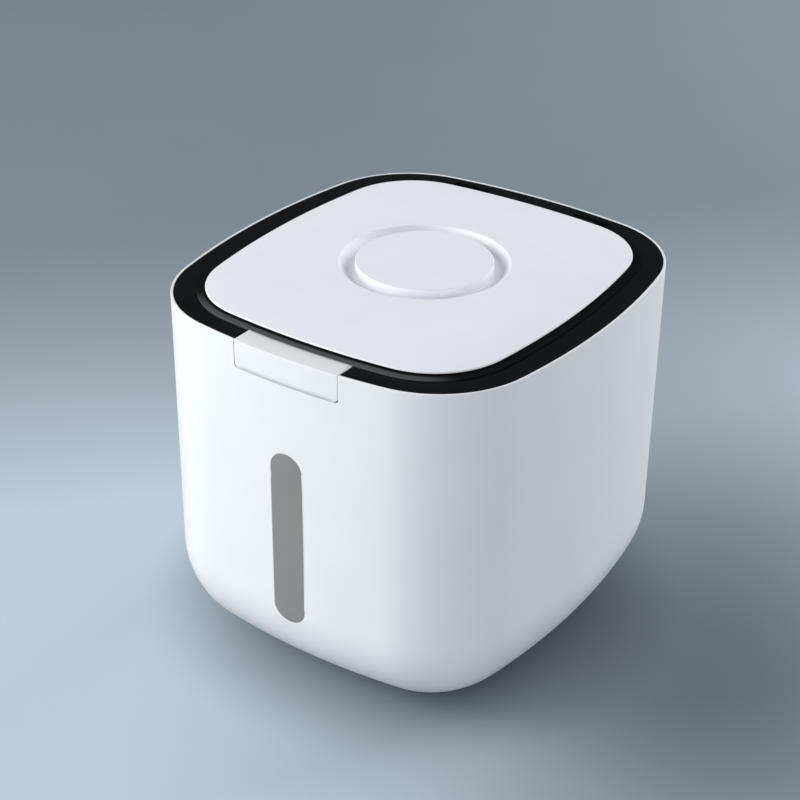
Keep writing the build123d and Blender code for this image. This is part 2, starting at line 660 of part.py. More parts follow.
def make_release_button():
    """L-shaped button, flush with the wall in front and with the rim on top."""
    room = block(-BIN_WIDTH, BIN_WIDTH, -BIN_DEPTH, BUTTON_BACK, BUTTON_BOTTOM, RIM_HEIGHT)
    outline = button_front(0, BUTTON_CORNER)
    body = tub() & outline & room
    top_edges = body.edges().group_by(Axis.Z)[-1]
    body = fillet(top_edges, BUTTON_EDGE_RADIUS)
    inner_half = BUTTON_WIDTH / 2 - BUTTON_CHEEK
    hollow = block(-inner_half, inner_half, -BIN_DEPTH, 0, 0, RIM_HEIGHT - BUTTON_TOP)
    body -= hollow & tub(BUTTON_FRONT)
    for side in (-1, 1):
        cheek = side * (BUTTON_WIDTH / 2 - BUTTON_CHEEK)
        reach = side * (BUTTON_WIDTH / 2 + TAB_REACH)
        tab_low = BUTTON_BOTTOM + TAB_LIFT
        body += block(cheek, reach, TAB_FRONT, TAB_FRONT + TAB_LENGTH, tab_low, tab_low + TAB_HEIGHT)
        pad_x = side * BUTTON_COIL_SPACING / 2
        pad_z = RIM_HEIGHT - BUTTON_COIL_DROP
        front = -BIN_DEPTH / 2 + side_sag(BUTTON_COIL_SPACING / 2) + BUTTON_FRONT / 2
        body += bar_along_y(pad_x, front, SPRING_FRONT, pad_z, SPRING_PAD_RADIUS)
        body += bar_along_y(pad_x, front, SPRING_FRONT + SPRING_POST_LENGTH, pad_z, SPRING_POST_RADIUS)
    for x, y in hook_screw_places():
        body += round_bar(x, y, HOOK_BASE_TOP, RIM_HEIGHT - BUTTON_TOP, SCREW_BOSS_RADIUS)
        pilot_top = HOOK_BASE_TOP + HOOK_SCREW_LENGTH - HOOK_ARM + SCREW_TIP_GAP
        body -= round_bar(x, y, HOOK_BASE_TOP, pilot_top, SCREW_RADIUS + SCREW_PILOT_GAP)
    return body


def make_latch_hook():
    """Hook that passes under the lid's catch and turns back into its window."""
    base_back = BUTTON_BACK - HOOK_STANDOFF
    base_front = base_back - HOOK_BASE_LENGTH
    base_under = HOOK_BASE_TOP - HOOK_ARM
    half = HOOK_WIDTH / 2
    arm_under = HOOK_ARM_TOP - HOOK_ARM
    nose_tip = CATCH_BACK - HOOK_ENGAGE
    riser_front = CATCH_BACK + BUTTON_TRAVEL + CATCH_CLEARANCE
    riser_back = riser_front + HOOK_RISER
    nose_top = CATCH_WINDOW_Z - CATCH_CLEARANCE
    nose_half = HOOK_NOSE_WIDTH / 2
    hook = block(-HOOK_BASE_WIDTH / 2, HOOK_BASE_WIDTH / 2, base_front, base_back, base_under, HOOK_BASE_TOP)
    hook += block(-half, half, base_back - HOOK_ARM, base_back, arm_under, HOOK_BASE_TOP)
    hook += block(-half, half, base_back - HOOK_ARM, riser_back, arm_under, HOOK_ARM_TOP)
    hook += block(-nose_half, nose_half, riser_front, riser_back, arm_under, nose_top)
    hook += block(-nose_half, nose_half, nose_tip, riser_back, nose_top - HOOK_NOSE, nose_top)
    for hole in holes_at(hook_screw_places(), base_under, HOOK_BASE_TOP, SCREW_RADIUS + SCREW_HOLE_GAP):
        hook -= hole
    return hook


def lid_screw_places():
    """Screws that hold the lid plate to its liner."""
    spacing_x = LID_WIDTH - 2 * (TRAY_INSET + LID_SCREW_MARGIN_X)
    spacing_y = LID_DEPTH - 2 * (TRAY_INSET + LID_SCREW_MARGIN_Y)
    side = LID_WIDTH / 2 - TRAY_INSET - LID_SCREW_SIDE_MARGIN
    return four_places(spacing_x, spacing_y) + [(-side, 0), (side, 0)]


def make_lid_cover():
    """White lid plate: level edge, gentle crown, round groove and raised disc, hollow below."""
    plate = upright(lid_plan(), LID_UNDER, LID_EDGE_TOP)
    plate = fillet(plate.edges().group_by(Axis.Z)[-1], LID_EDGE_RADIUS)
    levels = []
    for step in range(LID_CROWN_STEPS + 1):
        share = step / LID_CROWN_STEPS
        inset = LID_EDGE_RADIUS + share * (LID_CROWN_MARGIN - LID_EDGE_RADIUS)
        rise = LID_CROWN * (1 - (1 - share) ** 2)
        levels.append(Pos(0, 0, LID_EDGE_TOP + rise) * lid_plan(inset))
    plate += loft(levels)

    disc_top = LID_TOP + DISC_RISE
    groove_floor = LID_TOP - GROOVE_DEPTH
    bowl_under = groove_floor - LID_SKIN
    centre = Pos(0, DISC_OFFSET_Y, 0)
    floor_outer = DISC_RADIUS + GROOVE_FLOOR
    profile = [
        Line((DISC_RADIUS, LID_TOP), (DISC_RADIUS, groove_floor)),
        Line((DISC_RADIUS, groove_floor), (floor_outer, groove_floor)),
        TangentArc((floor_outer, groove_floor), (GROOVE_RADIUS, LID_TOP), tangent=(1, 0)),
        Line((GROOVE_RADIUS, LID_TOP), (DISC_RADIUS, LID_TOP)),
    ]
    groove = revolve(Plane.XZ * make_face(profile), Axis.Z)
    blank = round_bar(0, 0, bowl_under, LID_TOP, GROOVE_RADIUS + LID_SKIN)
    bowl = blank - groove
    lip = bowl.edges().filter_by(GeomType.CIRCLE)
    lip = lip.filter_by(lambda e: abs(e.radius - GROOVE_RADIUS) < SEAT_GAP)
    lip = lip.filter_by(lambda e: abs(e.center().Z - LID_TOP) < SEAT_GAP)
    bowl = fillet(lip, GROOVE_LIP_RADIUS)
    plate = plate - centre * blank + centre * bowl
    disc = round_bar(0, 0, groove_floor, disc_top, DISC_RADIUS)
    disc = fillet(disc.edges().group_by(Axis.Z)[-1], DISC_EDGE_RADIUS)
    plate += centre * disc

    hollow_top = LID_TOP - LID_SKIN
    hollow = upright(lid_plan(LID_CROWN_MARGIN), LID_UNDER, hollow_top)
    hollow -= centre * round_bar(0, 0, LID_UNDER, hollow_top, GROOVE_RADIUS + LID_SKIN)
    plate -= hollow
    plate -= centre * round_bar(0, 0, bowl_under, disc_top - LID_SKIN, DISC_RADIUS - LID_SKIN)
    post_foot = RIM_HEIGHT + CUP_TOP_RISE
    post = round_bar(0, 0, post_foot, disc_top - LID_SKIN, CUP_POST_RADIUS)
    post -= round_bar(0, 0, post_foot, disc_top - LID_SKIN, CUP_POST_RADIUS - CUP_POST_WALL)
    plate += centre * post
    for x, y in lid_screw_places():
        plate += round_bar(x, y, TRAY_FLOOR, hollow_top, SCREW_BOSS_RADIUS)
        pilot_top = PLUG_BOTTOM + SCREW_HEAD_HEIGHT + LID_SCREW_LENGTH + SCREW_TIP_GAP
        plate -= round_bar(x, y, TRAY_FLOOR, pilot_top, SCREW_RADIUS + SCREW_PILOT_GAP)
    return plate


def seal_heights():
    """Lowest and highest level of the seal's seat."""
    low = PLUG_BOTTOM + SEAL_LIFT
    return low, low + SEAL_HEIGHT


def leaf_screw_places(middle):
    """Screws of one hinge leaf."""
    y = LID_DEPTH / 2 - FLANGE_INSET - LEAF_LENGTH / 2
    across = HINGE_POCKET_LENGTH / 4
    return [(middle - across, y), (middle + across, y)]


def catch_screw_places():
    """Screws of the catch."""
    y = CATCH_FRONT + CATCH_THICKNESS + (CATCH_BASE_LENGTH - CATCH_THICKNESS) / 2
    across = (CATCH_WIDTH + CATCH_BASE_WIDTH) / 4
    return [(-across, y), (across, y)]


def make_lid_liner():
    """Tray under the lid plate, with the seal's groove and the cup's opening."""
    liner = upright(lid_plan(FLANGE_INSET), FLANGE_UNDER, LID_UNDER)
    liner += upright(lid_plan(PLUG_INSET), PLUG_BOTTOM, FLANGE_UNDER)
    liner -= upright(lid_plan(TRAY_INSET), TRAY_FLOOR, LID_UNDER)
    low, high = seal_heights()
    liner -= upright(lid_plan(PLUG_INSET), low, high) - upright(lid_plan(PLUG_INSET + SEAL_SINK), low, high)
    liner -= round_bar(0, DISC_OFFSET_Y, PLUG_BOTTOM, TRAY_FLOOR, CUP_RADIUS + CUP_GAP)
    seat = PLUG_BOTTOM + SCREW_HEAD_HEIGHT
    for x, y in lid_screw_places():
        liner -= round_bar(x, y, PLUG_BOTTOM, seat, SCREW_HEAD_RADIUS + SCREW_HOLE_GAP)
        liner -= round_bar(x, y, PLUG_BOTTOM, TRAY_FLOOR, SCREW_RADIUS + SCREW_HOLE_GAP)
    places = catch_screw_places()
    for middle, _ in hinge_places():
        places = places + leaf_screw_places(middle)
    pilot_top = FLANGE_UNDER + SHORT_SCREW_LENGTH - LEAF_THICKNESS + SCREW_TIP_GAP
    for hole in holes_at(places, FLANGE_UNDER, pilot_top, SCREW_RADIUS + SCREW_PILOT_GAP):
        liner -= hole
    return liner


def make_lid_seal():
    """Soft ring in the liner's groove with two lips towards the throat."""
    low, high = seal_heights()
    root = PLUG_INSET + SEAL_SINK - SEAT_GAP
    low += SEAT_GAP
    high -= SEAT_GAP
    seal = upright(lid_plan(PLUG_INSET - SEAL_BAND), low, high)
    lip_plan = lid_plan(THROAT_INNER + SEAL_GAP)
    seal += upright(lip_plan, low, low + SEAL_LIP)
    seal += upright(lip_plan, high - SEAL_LIP, high)
    return seal - upright(lid_plan(root), low, high)


def make_lid_catch():
    """Tongue with a window, screwed under the liner's front."""
    half = CATCH_WIDTH / 2
    base_half = CATCH_BASE_WIDTH / 2
    window_half = HOOK_NOSE_WIDTH / 2 + CATCH_CLEARANCE
    base_back = CATCH_FRONT + CATCH_BASE_LENGTH
    catch = block(-base_half, base_half, CATCH_FRONT, base_back, CATCH_UNDER, FLANGE_UNDER)
    catch += block(-half, half, CATCH_FRONT, CATCH_BACK, CATCH_FOOT, CATCH_UNDER)
    catch -= block(-window_half, window_half, CATCH_FRONT, CATCH_BACK, CATCH_WINDOW_FOOT, CATCH_WINDOW_Z)
    for hole in holes_at(catch_screw_places(), CATCH_UNDER, FLANGE_UNDER, SCREW_RADIUS + SCREW_HOLE_GAP):
        catch -= hole
    return catch


def make_hinge_leaf(middle, side):
    """Leaf under the liner's rear with a knuckle round the pin."""
    half = HINGE_POCKET_LENGTH / 2 - LEAF_END_GAP
    rear = LID_DEPTH / 2 - FLANGE_INSET
    near = middle - side * half
    far = middle + side * half
    knuckle_end = near + side * KNUCKLE_LENGTH
    leaf = block(near, far, rear - LEAF_LENGTH, rear, LEAF_UNDER, FLANGE_UNDER)
    leaf += block(near, knuckle_end, rear, HINGE_Y, LEAF_UNDER, FLANGE_UNDER)
    leaf += bar_along_x(near, knuckle_end, HINGE_Y, HINGE_Z, KNUCKLE_RADIUS)
    leaf -= bar_along_x(near, knuckle_end, HINGE_Y, HINGE_Z, PIN_RADIUS + PIN_RUN_GAP)
    for hole in holes_at(leaf_screw_places(middle), LEAF_UNDER, FLANGE_UNDER, SCREW_RADIUS + SCREW_HOLE_GAP):
        leaf -= hole
    return leaf


def make_hinge_pin(middle):
    """Steel pin held in the frame's lugs."""
    half = HINGE_POCKET_LENGTH / 2 + HINGE_LUG - PIN_END
    pin = bar_along_x(middle - half, middle + half, HINGE_Y, HINGE_Z, PIN_RADIUS)
    ends = pin.edges().filter_by(GeomType.CIRCLE)
    return chamfer(ends, PIN_END / 2)


def make_hinge_spring(middle, side):
    """Torsion spring round the pin, one leg under the leaf and one on the pocket's floor."""
    half = HINGE_POCKET_LENGTH / 2 - LEAF_END_GAP
    start_x = KNUCKLE_LENGTH - half + HINGE_WIRE + SPRING_SEAT_GAP
    path = coil(
        (start_x, HINGE_Y, HINGE_Z),
        (1, 0, 0),
        (0, 0, -1),
        HINGE_COIL_RADIUS,
        HINGE_COIL_PITCH,
        HINGE_COIL_TURNS,
        HINGE_LEG_FRONT,
        HINGE_LEG_BACK,
    )
    spring = wire_spring(path, HINGE_WIRE, "hinge spring")
    if side < 0:
        spring = mirror(spring, about=Plane.YZ)
    return Pos(middle, 0, 0) * spring


def ring_piece(inner, outer, low, high, start, sweep_angle):
    """Curved block of a ring about the cup's axis, from a start angle in degrees."""
    profile = Plane.XZ * Pos((inner + outer) / 2, (low + high) / 2) * Rectangle(outer - inner, high - low)
    return Pos(0, DISC_OFFSET_Y, 0) * Rot(0, 0, start) * revolve(profile, Axis.Z, sweep_angle)


def lug_angles():
    """Middle angle of each bayonet lug."""
    return [index * 360 / LUG_COUNT for index in range(LUG_COUNT)]


def make_freshness_cup():
    """Cup for a sachet, open below, seated on the tray's floor and held down by the plate's post."""
    top = RIM_HEIGHT + CUP_TOP_RISE
    bore = CUP_RADIUS - CUP_WALL
    centre = Pos(0, DISC_OFFSET_Y, 0)
    cup = centre * round_bar(0, 0, PLUG_BOTTOM, top, CUP_RADIUS)
    cup += centre * round_bar(0, 0, TRAY_FLOOR, TRAY_FLOOR + CUP_FLANGE_THICKNESS, CUP_RADIUS + CUP_FLANGE)
    cup -= centre * round_bar(0, 0, PLUG_BOTTOM, top - CUP_WALL, bore)
    low = PLUG_BOTTOM + LUG_RISE - LUG_GAP
    high = PLUG_BOTTOM + LUG_RISE + LUG_HEIGHT + LUG_GAP
    half = LUG_ANGLE / 2 + LUG_END_ANGLE
    depth = bore - CAP_GAP + LUG_REACH + LUG_GAP
    for angle in lug_angles():
        cup -= ring_piece(bore - CAP_GAP, depth, low, high, angle - half, 2 * half + CAP_TURN)
        cup -= ring_piece(bore - CAP_GAP, depth, PLUG_BOTTOM, high, angle - half + CAP_TURN, 2 * half)
    return cup


def make_freshness_cap():
    """Vented quarter-turn cap with a grip bar and bayonet lugs."""
    bore = CAP_RADIUS - CAP_SKIRT
    centre = Pos(0, DISC_OFFSET_Y, 0)
    plate_top = PLUG_BOTTOM + CAP_PLATE
    cap = centre * round_bar(0, 0, PLUG_BOTTOM, PLUG_BOTTOM + CAP_SKIRT_HEIGHT, CAP_RADIUS)
    cap -= centre * round_bar(0, 0, plate_top, PLUG_BOTTOM + CAP_SKIRT_HEIGHT, bore)
    for index in range(CAP_SLOT_COUNT):
        slot = Pos(CAP_SLOT_RADIUS, 0) * SlotOverall(CAP_SLOT_LENGTH, CAP_SLOT_WIDTH)
        turn = (index + 0.5) * 360 / CAP_SLOT_COUNT
        cap -= centre * Rot(0, 0, turn) * upright(slot, PLUG_BOTTOM, plate_top)
    grip = SlotOverall(CAP_GRIP_LENGTH, CAP_GRIP_WIDTH)
    cap += centre * upright(grip, PLUG_BOTTOM - CAP_GRIP_DEPTH, plate_top)
    low = PLUG_BOTTOM + LUG_RISE
    for angle in lug_angles():
        start = angle - LUG_ANGLE / 2
        cap += ring_piece(bore, CAP_RADIUS + LUG_REACH, low, low + LUG_HEIGHT, start, LUG_ANGLE)
    return cap


def make_all():
    """Every piece by its name."""
    pieces = {
        "outer_shell": make_outer_shell(),
        "viewing_window": make_viewing_window(),
        "window_gasket": make_window_gasket(),
        "rim_frame": make_rim_frame(),
        "button_cradle": make_button_cradle(),
        "release_button": make_release_button(),
        "latch_hook": make_latch_hook(),
        "lid_cover": make_lid_cover(),
        "lid_liner": make_lid_liner(),
        "lid_seal": make_lid_seal(),
        "lid_catch": make_lid_catch(),
        "freshness_cup": make_freshness_cup(),
        "freshness_cap": make_freshness_cap(),
    }
    leaf_screws = []
    for (middle, side), name in zip(hinge_places(), ("left", "right")):
        pieces["hinge_leaf_" + name] = make_hinge_leaf(middle, side)
        pieces["hinge_pin_" + name] = make_hinge_pin(middle)
        pieces["hinge_spring_" + name] = make_hinge_spring(middle, side)
        pieces["button_spring_" + name] = make_button_spring(side)
        leaf_screws += leaf_screw_places(middle)
    corners = ("front_left", "rear_left", "front_right", "rear_right")
    for (x, y), name in zip(four_places(FOOT_SPACING_X, FOOT_SPACING_Y), corners):
        pieces["foot_" + name] = make_foot(x, y)
    seat = PLUG_BOTTOM + SCREW_HEAD_HEIGHT
    pieces["lid_screws"] = screws_at(lid_screw_places(), seat, LID_SCREW_LENGTH)
    pieces["hinge_screws"] = screws_at(leaf_screws, LEAF_UNDER, SHORT_SCREW_LENGTH)
    pieces["catch_screws"] = screws_at(catch_screw_places(), CATCH_UNDER, SHORT_SCREW_LENGTH)
    flange_under = CRADLE_FLANGE - CRADLE_WALL
    pieces["cradle_screws"] = screws_at(cradle_screw_places(), flange_under, CRADLE_SCREW_LENGTH)
    pieces["hook_screws"] = screws_at(hook_screw_places(), HOOK_BASE_TOP - HOOK_ARM, HOOK_SCREW_LENGTH)
    return pieces


os.makedirs("parts", exist_ok=True)
for piece_name, piece in make_all().items():
    export_step(piece, "parts/" + piece_name + ".step")
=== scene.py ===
"""Looks of the rice storage container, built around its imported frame.

Sizes are named in millimetres, as they are measured on the object, and MM turns them into metres
where a mesh is made. Front is -Y, up is +Z, and the origin lies under the middle of the base.
"""
import logging
import math
from dataclasses import dataclass, field
from enum import Enum

import bmesh
import bpy
from bmesh.types import BMEdge, BMesh, BMFace, BMVert
from mathutils import Matrix, Vector


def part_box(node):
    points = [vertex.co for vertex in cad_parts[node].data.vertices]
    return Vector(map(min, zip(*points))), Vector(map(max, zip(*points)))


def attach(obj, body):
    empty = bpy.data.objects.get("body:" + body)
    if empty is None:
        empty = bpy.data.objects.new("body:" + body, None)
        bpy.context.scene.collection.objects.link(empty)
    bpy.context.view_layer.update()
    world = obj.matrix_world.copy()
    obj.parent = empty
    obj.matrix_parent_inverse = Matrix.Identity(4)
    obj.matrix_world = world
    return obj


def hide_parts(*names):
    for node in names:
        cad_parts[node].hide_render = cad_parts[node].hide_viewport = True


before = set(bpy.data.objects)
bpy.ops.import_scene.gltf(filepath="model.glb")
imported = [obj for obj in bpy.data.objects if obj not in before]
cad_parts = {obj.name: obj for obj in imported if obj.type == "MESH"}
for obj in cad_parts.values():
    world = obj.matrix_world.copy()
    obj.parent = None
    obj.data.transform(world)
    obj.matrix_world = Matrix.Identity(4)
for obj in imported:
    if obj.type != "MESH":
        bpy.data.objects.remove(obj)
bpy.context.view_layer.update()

MM = 0.001
FULL_TURN = 2 * math.pi
RIGHT_ANGLE = math.pi / 2
WELD = 0.002 * MM
SHARP_ANGLE = math.radians(38)
NOISE_MIDDLE = (0.3, 0.7)

log = logging.getLogger("rice_bin")


class Body(Enum):
    """Bodies that the new pieces ride on."""

    BIN = "bin"
    LID = "lid"
    BUTTON = "button"


class Slot(Enum):
    """Material slots of the record, and a darker steel for the hinge."""

    WHITE_TUB = "white_tub"
    WHITE_LID = "white_lid"
    BLACK_FRAME = "black_frame"
    GREY_WINDOW = "grey_window"
    INNER_WHITE = "inner_white"
    BLACK_ACETAL = "black_acetal"
    SILICONE = "silicone"
    FOOT_PAD = "foot_pad"
    STEEL = "steel"
    SPRING_STEEL = "spring_steel"
    HINGE_STEEL = "hinge_steel"


Materials = dict[Slot, bpy.types.Material]


# Finishes


class NodeSheet:
    """A material's node tree with short ways to add nodes and wire them."""

    def __init__(self, name: str) -> None:
        """Starts a material that holds one shader and its output.

        Args:
            name: Name of the material.
        """
        self.material = bpy.data.materials.new(name)
        self.material.use_nodes = True
        self.tree = self.material.node_tree
        self.shader = self.tree.nodes["Principled BSDF"]
        self.place = self.add("ShaderNodeTexCoord").outputs["Object"]

    def put(self, value: object, end: bpy.types.NodeSocket) -> None:
        """Wires a socket to an input, or sets the input to a plain value.

        Args:
            value: Output of a node, or a plain value.
            end: Input that takes it.
        """
        if isinstance(value, bpy.types.NodeSocket):
            self.tree.links.new(value, end)
        else:
            end.default_value = value

    def add(self, kind: str, **settings: object) -> bpy.types.Node:
        """Adds a node.

        Args:
            kind: Blender's name for the node.
            **settings: Attributes of the node, or sockets and plain values for its inputs by name.

        Returns:
            The new node.
        """
        node = self.tree.nodes.new(kind)
        for key, value in settings.items():
            if hasattr(node, key):
                setattr(node, key, value)
            else:
                self.put(value, node.inputs[key])
        return node

    def feed(self, inputs: dict[str, object]) -> None:
        """Gives the shader what it shows.

        Args:
            inputs: Socket or plain value for each input by name.
        """
        for key, value in inputs.items():
            self.put(value, self.shader.inputs[key])

    def noise(self, size: float, detail: float, stretch: tuple | None = None) -> bpy.types.NodeSocket:
        """Adds solid noise in the object's own coordinates.

        Args:
            size: Size of one spot in millimetres.
            detail: Number of finer layers.
            stretch: How much longer the spots are along each axis.

        Returns:
            The noise value, about 0.5 on average.
        """
        place = self.place
        if stretch is not None:
            scale = [1 / share for share in stretch]
            place = self.add("ShaderNodeMapping", Vector=place, Scale=scale).outputs["Vector"]
        node = self.add("ShaderNodeTexNoise", Vector=place, Scale=1 / (size * MM), Detail=detail)
        return node.outputs["Fac"]

    def remap(
        self, value: bpy.types.NodeSocket, start: tuple, end: tuple, kind: str = "LINEAR"
    ) -> bpy.types.NodeSocket:
        """Maps one range of a value onto another.

        Args:
            value: Value to map.
            start: First and last value of its range.
            end: Results at both ends, sockets or numbers.
            kind: Blender's name for the way between them.

        Returns:
            The mapped value.
        """
        ends = dict(zip(("From Min", "From Max", "To Min", "To Max"), (*start, *end)))
        return self.add("ShaderNodeMapRange", interpolation_type=kind, Value=value, **ends).outputs["Result"]

    def spread(self, noise: bpy.types.NodeSocket, low: float, high: float) -> bpy.types.NodeSocket:
        """Maps the middle of a noise onto a range."""
        return self.remap(noise, NOISE_MIDDLE, (low, high))

    def ramp(self, length: bpy.types.NodeSocket, span: tuple, tones: tuple) -> bpy.types.NodeSocket:
        """Goes smoothly from one tone to another over a span of a length.

        Args:
            length: Length in metres.
            span: Lengths in millimetres where the change starts and ends.
            tones: Results before and after the change.

        Returns:
            The smooth value.
        """
        return self.remap(length, tuple(end * MM for end in span), tones, "SMOOTHSTEP")

    def calculate(self, operation: str, first: object, second: object) -> bpy.types.NodeSocket:
        """Works out a value from two others, sockets or numbers.

        Args:
            operation: Blender's name for the sum or the test.
            first: First value.
            second: Second value.

        Returns:
            The result.
        """
        node = self.add("ShaderNodeMath", operation=operation)
        for value, end in zip((first, second), node.inputs):
            self.put(value, end)
        return node.outputs["Value"]

    def blend(self, kind: str, share: object, first: object, second: object) -> bpy.types.NodeSocket:
        """Blends two values or two colours.

        Args:
            kind: Blender's name for what is blended.
            share: Share of the second one.
            first: First value or colour.
            second: Second value or colour.

        Returns:
            The blend.
        """
        node = self.add("ShaderNodeMix", data_type=kind, Factor=share, A=first, B=second)
        return node.outputs["Result"]

    def tint(
        self, noise: bpy.types.NodeSocket, colour: tuple, low: float, high: float
    ) -> bpy.types.NodeSocket:
        """Lightens and darkens a colour by a noise.

        Args:
            noise: Noise value.
            colour: Plain colour.
            low: Share by which it is lighter where the noise is low.
            high: Share by which it is lighter where the noise is high.

        Returns:
            The tinted colour.
        """
        ends = [(*(min(1.0, part * (1 + share)) for part in colour), 1.0) for share in (low, high)]
        return self.blend("RGBA", self.spread(noise, 0.0, 1.0), *ends)

    def bump(
        self, height: bpy.types.NodeSocket, depth: float, under: bpy.types.NodeSocket | None = None
    ) -> bpy.types.NodeSocket:
        """Turns a height into a bump of the surface.

        Args:
            height: Height value from 0 to 1.
            depth: Depth of the bump in millimetres.
            under: Normal of a bump below this one.

        Returns:
            The bumped normal.
        """
        node = self.add("ShaderNodeBump", Height=height, Distance=depth * MM, Strength=1.0)
        if under is not None:
            self.put(under, node.inputs["Normal"])
        return node.outputs["Normal"]


@dataclass(frozen=True)
class Finish:
    """A finish of the object's surface.

    Attributes:
        name: Name of the material.
        colour: Base colour.
    """

    name: str
    colour: tuple[float, float, float]

    def make(self) -> bpy.types.Material:
        """Builds the material."""
        sheet = NodeSheet(self.name)
        self.dress(sheet)
        return sheet.material

    def dress(self, sheet: NodeSheet) -> None:
        """Wires the finish.

        Args:
            sheet: Node tree of the material.
        """
        raise NotImplementedError


@dataclass(frozen=True)
class MouldedPlastic(Finish):
    """Injection-moulded plastic with a fine skin, slow sheen changes and faint cloudiness.

    Attributes:
        roughness: Middle roughness.
        cloud: Share by which the colour wanders.
        cloud_size: Size of a cloud in millimetres.
        sheen_spread: How far the roughness wanders to each side.
        sheen_size: Size of a change of sheen in millimetres.
        skin_depth: Depth of the skin's grain in millimetres.
        skin_size: Size of the skin's grain in millimetres.
        flow_share: How many times deeper the waves of the mould's flow are.
        flow_size: Size of those waves in millimetres.
        specular: Strength of the plain reflection.
    """

    roughness: float
    cloud: float = 0.012
    cloud_size: float = 38.0
    sheen_spread: float = 0.04
    sheen_size: float = 9.0
    skin_depth: float = 0.004
    skin_size: float = 0.7
    flow_share: float = 6.0
    flow_size: float = 24.0
    specular: float = 0.5

    def dress(self, sheet: NodeSheet) -> None:
        """Wires the finish.

        Args:
            sheet: Node tree of the material.
        """
        sheen = sheet.noise(self.sheen_size, 4.0)
        spread = self.sheen_spread
        flow = sheet.bump(sheet.noise(self.flow_size, 1.0), self.skin_depth * self.flow_share)
        sheet.feed({
            "Base Color": sheet.tint(sheet.noise(self.cloud_size, 3.0), self.colour, -self.cloud, self.cloud),
            "Roughness": sheet.spread(sheen, self.roughness - spread, self.roughness + spread),
            "Normal": sheet.bump(sheet.noise(self.skin_size, 2.0), self.skin_depth, flow),
            "Specular IOR Level": self.specular,
        })


@dataclass(frozen=True)
class PaintedReflectionPlastic(MouldedPlastic):
    """Moulded plastic that is matt above a height, with a painted reflection of the top light: a lighter
    textured band that fades towards the back.

    Attributes:
        band_from: Height in millimetres at which the painted reflection and the matt finish start.
        painted_reflection_top: Height in millimetres at which the painted reflection ends, so that the black
            stays under the lid's edge, where its shade falls.
        painted_reflection_front: Depth in millimetres in front of which the painted reflection is full.
        painted_reflection_fade: Length in millimetres over which the painted reflection fades towards the
            back.
        painted_reflection_colour: Colour of the painted reflection.
        band_roughness: Roughness of the matt finish.
        band_specular: Strength of the matt finish's plain reflection.
        grain_size: Size of the texture's grain in millimetres.
        grain_spread: How far colour and roughness wander with the grain.
    """

    band_from: float = 0.0
    painted_reflection_top: float = 0.0
    painted_reflection_front: float = 0.0
    painted_reflection_fade: float = 1.0
    painted_reflection_colour: tuple[float, float, float] = (0.1, 0.1, 0.1)
    band_roughness: float = 0.5
    band_specular: float = 0.12
    grain_size: float = 0.6
    grain_spread: float = 0.06

    def dress(self, sheet: NodeSheet) -> None:
        """Wires the plain finish and lays the band over it.

        Args:
            sheet: Node tree of the material.
        """
        super().dress(sheet)
        inputs = sheet.shader.inputs
        plain, sheen = (inputs[key].links[0].from_socket for key in ("Base Color", "Roughness"))
        place = sheet.add("ShaderNodeSeparateXYZ", Vector=sheet.place).outputs
        matt = sheet.calculate("GREATER_THAN", place["Z"], self.band_from * MM)
        below = sheet.calculate("LESS_THAN", place["Z"], self.painted_reflection_top * MM)
        # Painted reflection: the top light's reflection on the apron is painted as a lighter band in front
        # that fades towards the back; the matt roughness above band_from is the real finish.
        front = sheet.ramp(place["Y"], (self.painted_reflection_front, self.painted_reflection_front + self.painted_reflection_fade), (1.0, 0.0))
        painted_reflection = sheet.calculate("MULTIPLY", front, sheet.calculate("MULTIPLY", matt, below))
        grain = sheet.noise(self.grain_size, 3.0)
        spread = self.grain_spread
        tone = sheet.tint(grain, self.painted_reflection_colour, -spread, spread)
        rough = sheet.spread(grain, self.band_roughness - spread, self.band_roughness + spread)
        sheet.feed({
            "Base Color": sheet.blend("RGBA", painted_reflection, plain, tone),
            "Roughness": sheet.blend("FLOAT", matt, sheen, rough),
            "Specular IOR Level": sheet.remap(matt, (0.0, 1.0), (self.specular, self.band_specular)),
        })


@dataclass(frozen=True)
class SoftRubber(Finish):
    """Matt soft moulding with a dusty bloom and a fine sandy skin.

    Attributes:
        bloom: Share by which the bloom lightens the colour.
        bloom_size: Size of a spot of bloom in millimetres.
        roughness: Least and most roughness.
        wear_size: Size of a change of roughness in millimetres.
        skin_depth: Depth of the skin's grain in millimetres.
        skin_size: Size of the skin's grain in millimetres.
        sheen: Strength of the soft edge light.
        sheen_roughness: Roughness of that light.
    """

    bloom: float = 0.12
    bloom_size: float = 6.0
    roughness: tuple[float, float] = (0.55, 0.72)
    wear_size: float = 2.5
    skin_depth: float = 0.02
    skin_size: float = 0.35
    sheen: float = 0.15
    sheen_roughness: float = 0.5

    def dress(self, sheet: NodeSheet) -> None:
        """Wires the finish.

        Args:
            sheet: Node tree of the material.
        """
        sheet.feed({
            "Base Color": sheet.tint(sheet.noise(self.bloom_size, 5.0), self.colour, 0.0, self.bloom),
            "Roughness": sheet.spread(sheet.noise(self.wear_size, 3.0), *self.roughness),
            "Normal": sheet.bump(sheet.noise(self.skin_size, 2.0), self.skin_depth),
            "Sheen Weight": self.sheen,
            "Sheen Roughness": self.sheen_roughness,
        })


